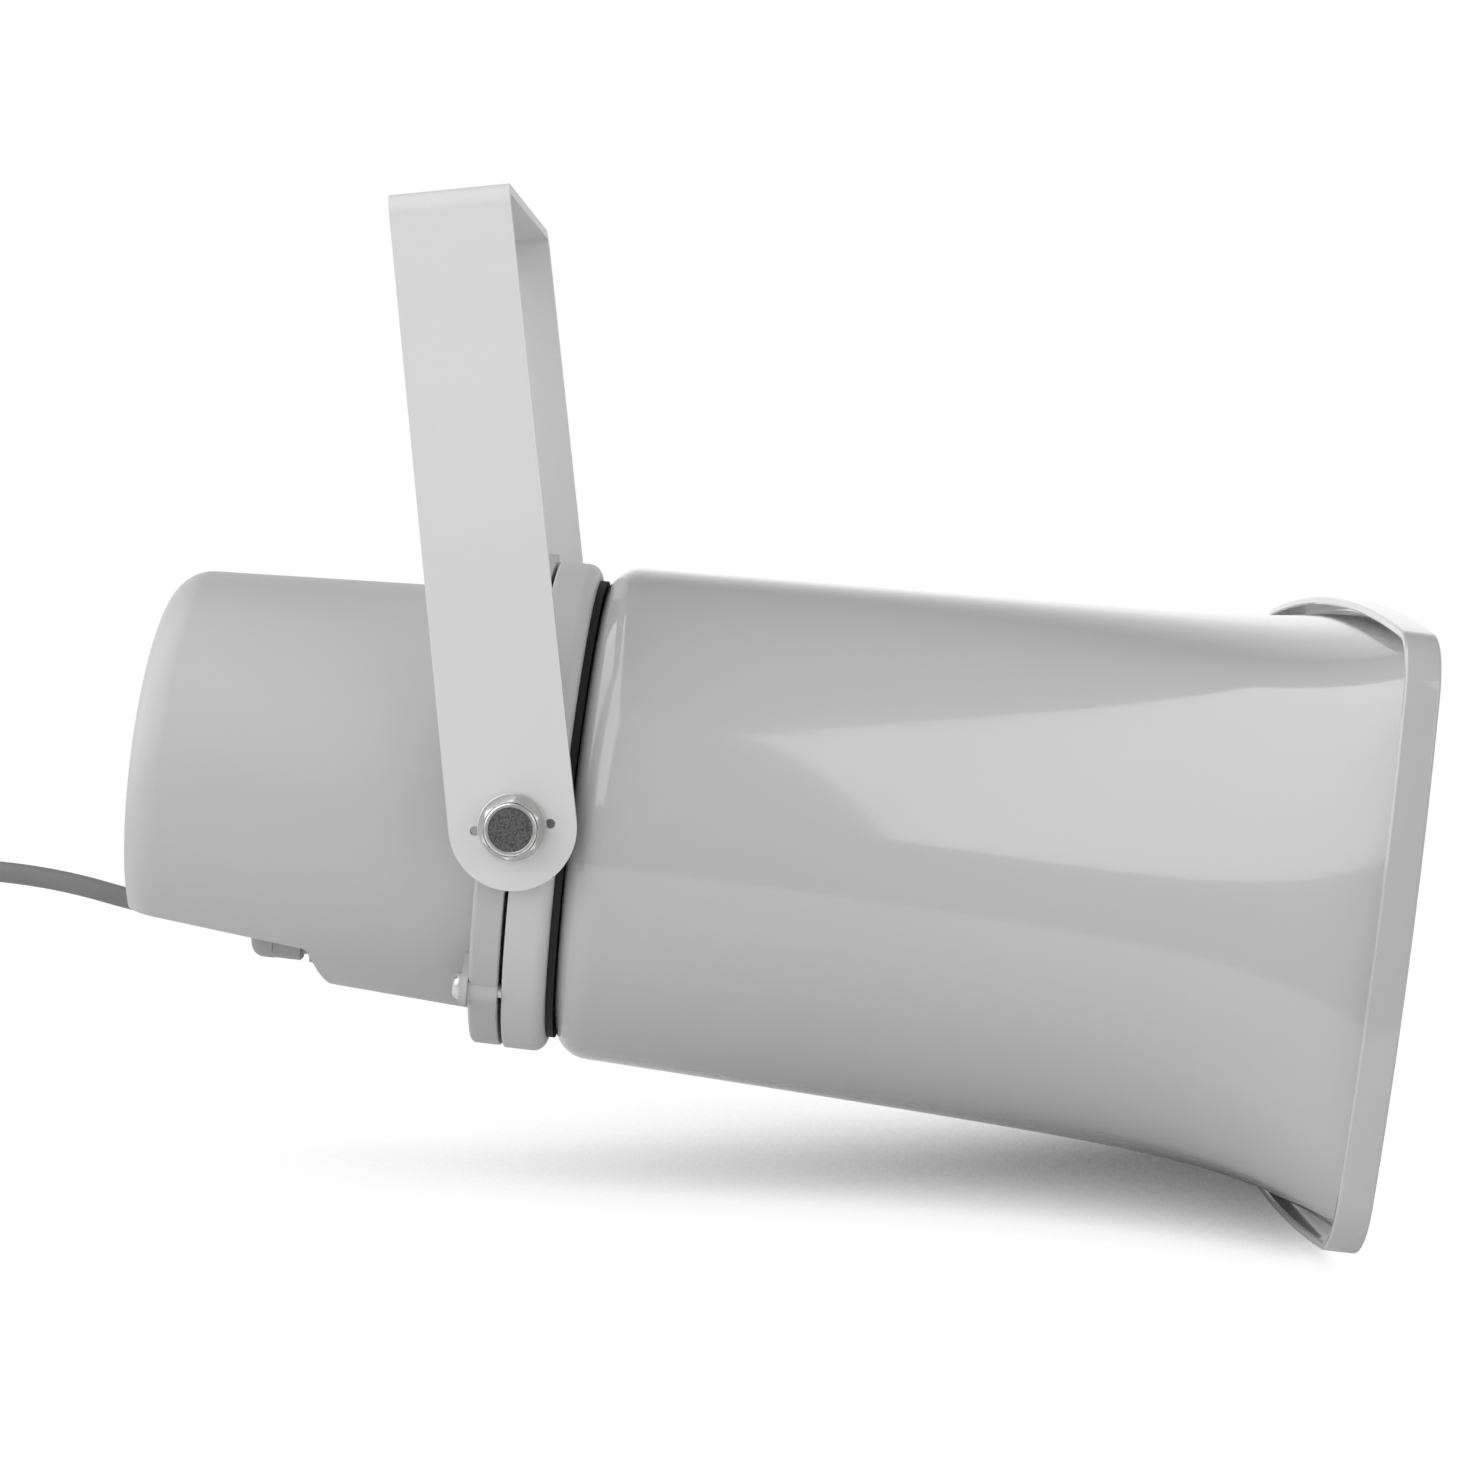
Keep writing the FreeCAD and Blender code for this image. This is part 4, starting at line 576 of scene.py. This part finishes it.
def glossShell(name, colour, gloss):
    # Polished moulding: slow waviness that bends reflections, faint flow marks, smudges, pale dust.
    finish = Finish(name, {"Specular IOR Level": 0.5, "Coat Weight": 1.0, "Coat Roughness": 0.06})
    wave = finish.noise(scale=14, detail=1)
    flow = finish.noise(scale=30, detail=3, place=finish.stretched((0.35, 1.0, 1.0)))
    smudge = finish.noise(scale=45, detail=4, rough=0.6)
    dust = finish.ramp(finish.cells(scale=260), stops=[(0.0, 0.0), (0.05, 1.0)])
    tone = finish.blend(flow, shade(colour, 0.975), shade(colour, 1.025))
    finish.feed("Base Color", finish.blend(dust, shade(colour, 1.1), tone))
    finish.feed("Roughness", gloss + (smudge ** 2.0) * 0.14)
    fine = finish.bump(finish.noise(scale=1400), distance=0.00003, strength=0.25)
    finish.feed("Normal", finish.bump(wave, distance=0.0009, strength=0.5, under=fine))
    return finish.material


def satinShell(name, colour, rough):
    # Spark-textured moulding: even fine grain over the whole face, barely clouded colour.
    finish = Finish(name, {"Specular IOR Level": 0.45})
    grain = finish.noise(scale=2600, rough=0.6)
    cloud = finish.noise(scale=18, detail=3)
    finish.feed("Base Color", finish.blend(cloud, shade(colour, 0.975), shade(colour, 1.025)))
    finish.feed("Roughness", (rough - 0.05) + cloud * 0.1)
    finish.feed("Normal", finish.bump(grain, distance=0.00008, strength=0.4))
    return finish.material


def brightSteel(name, colour, rough):
    # Rolled and tumbled metal: fine scratches along one way, darker film in patches.
    finish = Finish(name, {"Metallic": 1.0})
    scratch = finish.noise(scale=1800, place=finish.stretched((1.0, 1.0, 0.08), turn=(0.4, 0.2, 0.3)))
    film = finish.noise(scale=320, detail=3)
    finish.feed("Base Color", finish.blend(film, shade(colour, 0.82), shade(colour, 1.12)))
    finish.feed("Roughness", rough + scratch * 0.16)
    finish.feed("Normal", finish.bump(scratch, distance=0.00003, strength=0.5))
    return finish.material


def headSteel(name, colour, fromY, toY):
    # Bolt: bright chamfers and flats, and a pressed face painted dark in coarse grain, a painted dark
    # reflection on the bright steel. The face is what lies between two distances from the middle plane, in
    # millimetres.
    finish = Finish(name, {"Metallic": 1.0})
    y = finish.axis("Y")
    deep = (y * y) ** 0.5
    face = (deep > fromY / 1000.0) * (deep < toY / 1000.0)
    grain = finish.noise(scale=2300, detail=3, rough=0.7)
    scratch = finish.noise(scale=1500, place=finish.stretched((1.0, 0.1, 1.0)))
    bright = finish.blend(scratch, shade(colour, 0.85), shade(colour, 1.15))
    patch = finish.ramp(grain, stops=[(0.35, 0.0), (0.65, 1.0)])
    # Painted dark reflection: the face's colour drops to a tenth to three tenths of the steel's.
    dark = finish.blend(patch, shade(colour, 0.10), shade(colour, 0.30))
    finish.feed("Base Color", finish.blend(face, bright, dark))
    finish.feed("Roughness", 0.28 + scratch * 0.12 + face * 0.25)
    finish.feed("Normal", finish.bump(grain * face, distance=0.00025, strength=0.8))
    return finish.material


def rubber(name, colour):
    # Cut rubber sheet: small open cells, cloudy with dust.
    finish = Finish(name, {"Specular IOR Level": 0.35})
    cell = finish.cells(scale=1500)
    cloud = finish.noise(scale=60)
    finish.feed("Base Color", finish.blend(cloud, shade(colour, 0.8), shade(colour, 1.3)))
    finish.feed("Roughness", 0.6 + cloud * 0.2)
    finish.feed("Normal", finish.bump(cell, distance=0.0001, strength=0.5))
    return finish.material


def nylon(name, colour):
    # Injected nylon: half matt, with a fine grain.
    finish = Finish(name, {"Specular IOR Level": 0.5})
    grain = finish.noise(scale=1900)
    cloud = finish.noise(scale=70)
    finish.feed("Base Color", finish.blend(cloud, shade(colour, 0.93), shade(colour, 1.07)))
    finish.feed("Roughness", 0.45 + cloud * 0.12)
    finish.feed("Normal", finish.bump(grain, distance=0.00006, strength=0.4))
    return finish.material


def sheath(name, colour):
    # Drawn sheath or pressed resin: matt, with soft dents and a little dirt.
    finish = Finish(name, {"Specular IOR Level": 0.45})
    dent = finish.noise(scale=240)
    dirt = finish.noise(scale=50, detail=4, rough=0.6)
    finish.feed("Base Color", finish.blend(dirt, shade(colour, 0.88), shade(colour, 1.1)))
    finish.feed("Roughness", 0.42 + dirt * 0.16)
    finish.feed("Normal", finish.bump(dent, distance=0.0002, strength=0.35))
    return finish.material


def twoCores(name, red, dark, copper, splitY, bareX):
    # Red insulation on one core, dark on the other, and bare copper strands past the stripped end.
    finish = Finish(name, {"Specular IOR Level": 0.5})
    side = finish.axis("Y") > splitY
    bare = finish.axis("X") > bareX
    strand = finish.noise(scale=2500, place=finish.stretched((0.1, 1.0, 1.0)))
    insulation = finish.blend(side, shade(red, 1.0), shade(dark, 1.0))
    metal = finish.blend(strand, shade(copper, 0.7), shade(copper, 1.2))
    finish.feed("Base Color", finish.blend(bare, insulation, metal))
    finish.feed("Metallic", bare)
    finish.feed("Roughness", 0.32 + strand * 0.12)
    finish.feed("Normal", finish.bump(strand * bare, distance=0.0001, strength=0.6))
    return finish.material


def castMetal(name, colour, rough, grain):
    # Pressed or cast blank: mottled tone and gloss, with a pitted surface.
    finish = Finish(name, {"Metallic": 1.0})
    pit = finish.noise(scale=grain, detail=3, rough=0.6)
    finish.feed("Base Color", finish.blend(pit, shade(colour, 0.85), shade(colour, 1.1)))
    finish.feed("Roughness", rough + pit * 0.15)
    finish.feed("Normal", finish.bump(pit, distance=0.0002, strength=0.5))
    return finish.material


def woundTape(name, colour):
    # Glossy tape with its laps as uneven bands.
    finish = Finish(name, {"Specular IOR Level": 0.5})
    wrap = finish.bands(scale=90.0, way="Z", warp=1.5)
    finish.feed("Base Color", finish.blend(wrap, shade(colour, 0.85), shade(colour, 1.08)))
    finish.feed("Roughness", 0.3 + wrap * 0.1)
    finish.feed("Normal", finish.bump(wrap, distance=0.0001, strength=0.5))
    return finish.material


def laminations(name, colour):
    # Stacked steel sheets, as even bands with dark joints.
    finish = Finish(name, {"Metallic": 1.0})
    sheet = finish.bands(scale=320.0, way="X")
    finish.feed("Base Color", finish.blend(sheet, shade(colour, 0.6), shade(colour, 1.1)))
    finish.feed("Roughness", 0.4 + sheet * 0.15)
    finish.feed("Normal", finish.bump(sheet, distance=0.0001, strength=0.7))
    return finish.material


def grey(level):
    # The same level in all three channels.
    return (level, level, level)


# Base colours, linear
paintSet = {
    "bracket": grey(0.635),
    "bell": grey(0.47),
    "reflector": grey(0.46),
    "cover": grey(0.47),
    "ring": grey(0.57),
    "gland": grey(0.36),
    "lead": grey(0.2),
    "gasket": grey(0.016),
    "seal": grey(0.10),
    "blackPart": grey(0.03),
    "redCore": (0.45, 0.03, 0.025),
    "darkCore": grey(0.02),
    "strands": (0.75, 0.36, 0.2),
    "brightSteel": (0.86, 0.86, 0.85),
    "boltSteel": (0.9, 0.9, 0.89),
    "zinc": (0.55, 0.54, 0.50),
    "ferrite": (0.07, 0.07, 0.075),
    "alloy": grey(0.55),
    "resin": (0.30, 0.15, 0.06),
    "coilWire": (0.62, 0.27, 0.13),
    "coreSheets": (0.30, 0.30, 0.32),
    "tape": (0.62, 0.45, 0.08),
}
finishes = {
    "bracket_paint": powderCoat("greyPowder", paintSet["bracket"]),
    "horn_plastic": glossShell("glossGrey", paintSet["bell"], gloss=0.11),
    "reflector_plastic": glossShell("glossInner", paintSet["reflector"], gloss=0.16),
    "cover_plastic": satinShell("satinCover", paintSet["cover"], rough=0.40),
    "ring_plastic": satinShell("satinRing", paintSet["ring"], rough=0.44),
    "stainless": brightSteel("brightSteel", paintSet["brightSteel"], rough=0.34),
    "boltHead": headSteel("boltSteel", paintSet["boltSteel"], boltSet["darkFromY"], boltSet["darkToY"]),
    "black_rubber": rubber("gasketRubber", paintSet["gasket"]),
    "grey_rubber": rubber("sealRubber", paintSet["seal"]),
    "gland_nylon": nylon("glandNylon", paintSet["gland"]),
    "cable_pvc": sheath("leadSheath", paintSet["lead"]),
    "core_pvc": twoCores("leadCores", paintSet["redCore"], paintSet["darkCore"], paintSet["strands"],
                         leadSet["coreSplitY"], leadSet["bareX"]),
    "plated_steel": brightSteel("zincSteel", paintSet["zinc"], rough=0.24),
    "ferrite": castMetal("darkFerrite", paintSet["ferrite"], rough=0.55, grain=1500),
    "cast_alloy": castMetal("castAlloy", paintSet["alloy"], rough=0.38, grain=900),
    "phenolic": sheath("brownPhenolic", paintSet["resin"]),
    "copper_wire": brightSteel("copperWire", paintSet["coilWire"], rough=0.25),
    "core_steel": laminations("coreLaminations", paintSet["coreSheets"]),
    "winding_tape": woundTape("windingTape", paintSet["tape"]),
    "black_plastic": nylon("blackNylon", paintSet["blackPart"]),
}
for entry in frame["record"]["subparts"]:
    target = nodes[entry["node"]].data
    target.materials.clear()
    target.materials.append(finishes[entry["material_slot"]])
bellShell.data.materials.append(finishes["horn_plastic"])
speakerLead.data.materials.append(finishes["cable_pvc"])
for bolt in tiltBolts:
    bolt.data.materials.append(finishes["boltHead"])
print("finishes mixed:", len(finishes))


# Floor, world and lights

# The table, then its painted shadow, which comes from ambient occlusion and not from the lamps: the way it
# looks for cover, how far, and the open shares that count as dark and light. Then the backdrop that mirrors
# show and the room's light on matt surfaces.
stageSet = {
    "touch": (0.1887, 0.0, -0.27765), "slope": 0.0963, "side": 4.0, "front": -0.34, "back": 5.0, "tone": 0.82,
    "lean": (0.25, -0.62, 0.74), "span": 0.20, "darkAt": 0.10, "lightAt": 0.53, "samples": 16,
    "behindFrom": 0.0, "behindTo": 0.6, "lowFrom": 0.2, "lowTo": 0.6, "dim": 0.25, "backBright": 1.0,
    "roomFrom": 0.1, "roomTo": 0.9, "roomLow": 0.92, "roomHigh": 0.25,
}


def addNode(tree, kind, ins=None, **settings):
    # One node of a stage shader. In ins, a socket or a node, for its first output, makes a link.
    made = tree.nodes.new(kind)
    for name, value in settings.items():
        setattr(made, name, value)
    for place, value in (ins or {}).items():
        if isinstance(value, bpy.types.Node):
            tree.links.new(value.outputs[0], made.inputs[place])
        elif isinstance(value, bpy.types.NodeSocket):
            tree.links.new(value, made.inputs[place])
        else:
            made.inputs[place].default_value = value
    return made


def addFloor(settings):
    # White table top that touches the mouth's lip, a few degrees off the bracket's level as the horn was set
    # down, with its front edge near the camera. The camera sees it as a clear layer over the white world with
    # a
    # painted shadow: ambient occlusion, looking along a lean towards the front, darkens it, not the lamps.
    # From below it lets everything through.
    touch, side = settings["touch"], settings["side"]
    x = np.array([-side, side, side, -side])
    y = np.array([settings["front"], settings["front"], settings["back"], settings["back"]])
    corners = np.stack([x, y, touch[2] - settings["slope"] * (x - touch[0])], 1)
    floor = addMesh("studioFloor", corners, [[0, 1, 2, 3]])
    material = bpy.data.materials.new("studioFloor")
    material.use_nodes = True
    tree = material.node_tree
    tree.nodes.clear()
    tone = settings["tone"]
    table = addNode(tree, "ShaderNodeBsdfDiffuse", {"Color": (tone, tone, tone, 1.0)})
    lean = addNode(tree, "ShaderNodeCombineXYZ", dict(enumerate(settings["lean"])))
    # Painted shadow, seen only by the camera: occlusion along the lean, mapped from dark to light.
    hidden = addNode(tree, "ShaderNodeAmbientOcclusion", {"Distance": settings["span"], "Normal": lean},
                     samples=settings["samples"])
    light = addNode(tree, "ShaderNodeMapRange", {0: hidden.outputs["AO"], 1: settings["darkAt"],
                                                 2: settings["lightAt"]})
    shadowTone = addNode(tree, "ShaderNodeCombineColor", {0: light, 1: light, 2: light})
    shadow = addNode(tree, "ShaderNodeBsdfTransparent", {"Color": shadowTone})
    path = addNode(tree, "ShaderNodeLightPath")
    seen = addNode(tree, "ShaderNodeMixShader", {0: path.outputs["Is Camera Ray"], 1: table, 2: shadow})
    under = addNode(tree, "ShaderNodeNewGeometry")
    clear = addNode(tree, "ShaderNodeBsdfTransparent")
    shown = addNode(tree, "ShaderNodeMixShader", {0: under.outputs["Backfacing"], 1: seen, 2: clear})
    addNode(tree, "ShaderNodeOutputMaterial", {0: shown})
    floor.data.materials.append(material)


def addWorld(settings):
    # White to the camera. Mirrored, it is a white backdrop low behind the object and dim elsewhere. Matt
    # surfaces get the room's light, which fades upwards.
    world = bpy.data.worlds.new("studio")
    bpy.context.scene.world = world
    world.use_nodes = True
    tree = world.node_tree
    tree.nodes.clear()
    path = addNode(tree, "ShaderNodeLightPath").outputs
    place = addNode(tree, "ShaderNodeTexCoord")
    ways = addNode(tree, "ShaderNodeSeparateXYZ", {0: place.outputs["Generated"]}).outputs
    behind = addNode(tree, "ShaderNodeMapRange", {0: ways["Y"], 1: settings["behindFrom"],
                                                  2: settings["behindTo"]})
    low = addNode(tree, "ShaderNodeMapRange", {0: ways["Z"], 1: settings["lowFrom"], 2: settings["lowTo"],
                                               3: 1.0, 4: 0.0})
    both = addNode(tree, "ShaderNodeMath", {0: behind, 1: low}, operation="MULTIPLY")
    mirrored = addNode(tree, "ShaderNodeMapRange", {0: both, 3: settings["dim"], 4: settings["backBright"]})
    seen = addNode(tree, "ShaderNodeMix", {0: path["Is Camera Ray"], 2: mirrored, 3: 1.0})
    direct = path["Is Camera Ray"]
    for ray in ("Is Glossy Ray", "Is Transmission Ray"):
        direct = addNode(tree, "ShaderNodeMath", {0: direct, 1: path[ray]}, operation="MAXIMUM")
    room = addNode(tree, "ShaderNodeMapRange", {0: ways["Z"], 1: settings["roomFrom"], 2: settings["roomTo"],
                                                3: settings["roomLow"], 4: settings["roomHigh"]})
    strength = addNode(tree, "ShaderNodeMix", {0: direct, 2: room, 3: seen})
    light = addNode(tree, "ShaderNodeBackground", {"Color": (1, 1, 1, 1), "Strength": strength})
    addNode(tree, "ShaderNodeOutputWorld", {0: light})


def addLamp(name, lamp):
    # A softbox: its middle, the way it faces, the way its first side runs, both sides and its brightness.
    data = bpy.data.lights.new(name, "AREA")
    data.shape = "RECTANGLE"
    data.size, data.size_y = lamp["size"]
    data.energy = lamp["bright"] * math.pi * data.size * data.size_y
    back = -Vector(lamp["faces"]).normalized()
    across = Vector(lamp["across"])
    across = (across - across.dot(back) * back).normalized()
    piece = bpy.data.objects.new(name, data)
    turn = Matrix((across, back.cross(across), back)).transposed().to_4x4()
    piece.matrix_world = Matrix.Translation(lamp["place"]) @ turn
    bpy.context.scene.collection.objects.link(piece)


lampSet = {
    "leftBox": {
        "place": (-0.348, -0.872, 0.979), "faces": (0.924, 0.023, -0.382), "across": (-0.088, 0.984, -0.156),
        "size": (2.76, 1.86), "bright": 1.4,
    },
    "rightBox": {
        "place": (1.3, -1.2, 0.3), "faces": (-0.75, 0.66, -0.25), "across": (0.66, 0.75, 0.0),
        "size": (0.9, 0.9), "bright": 1.0,
    },
}
addFloor(stageSet)
addWorld(stageSet)
for name, lamp in lampSet.items():
    addLamp(name, lamp)
bpy.context.scene.view_settings.view_transform = "Standard"
print("studio lit")
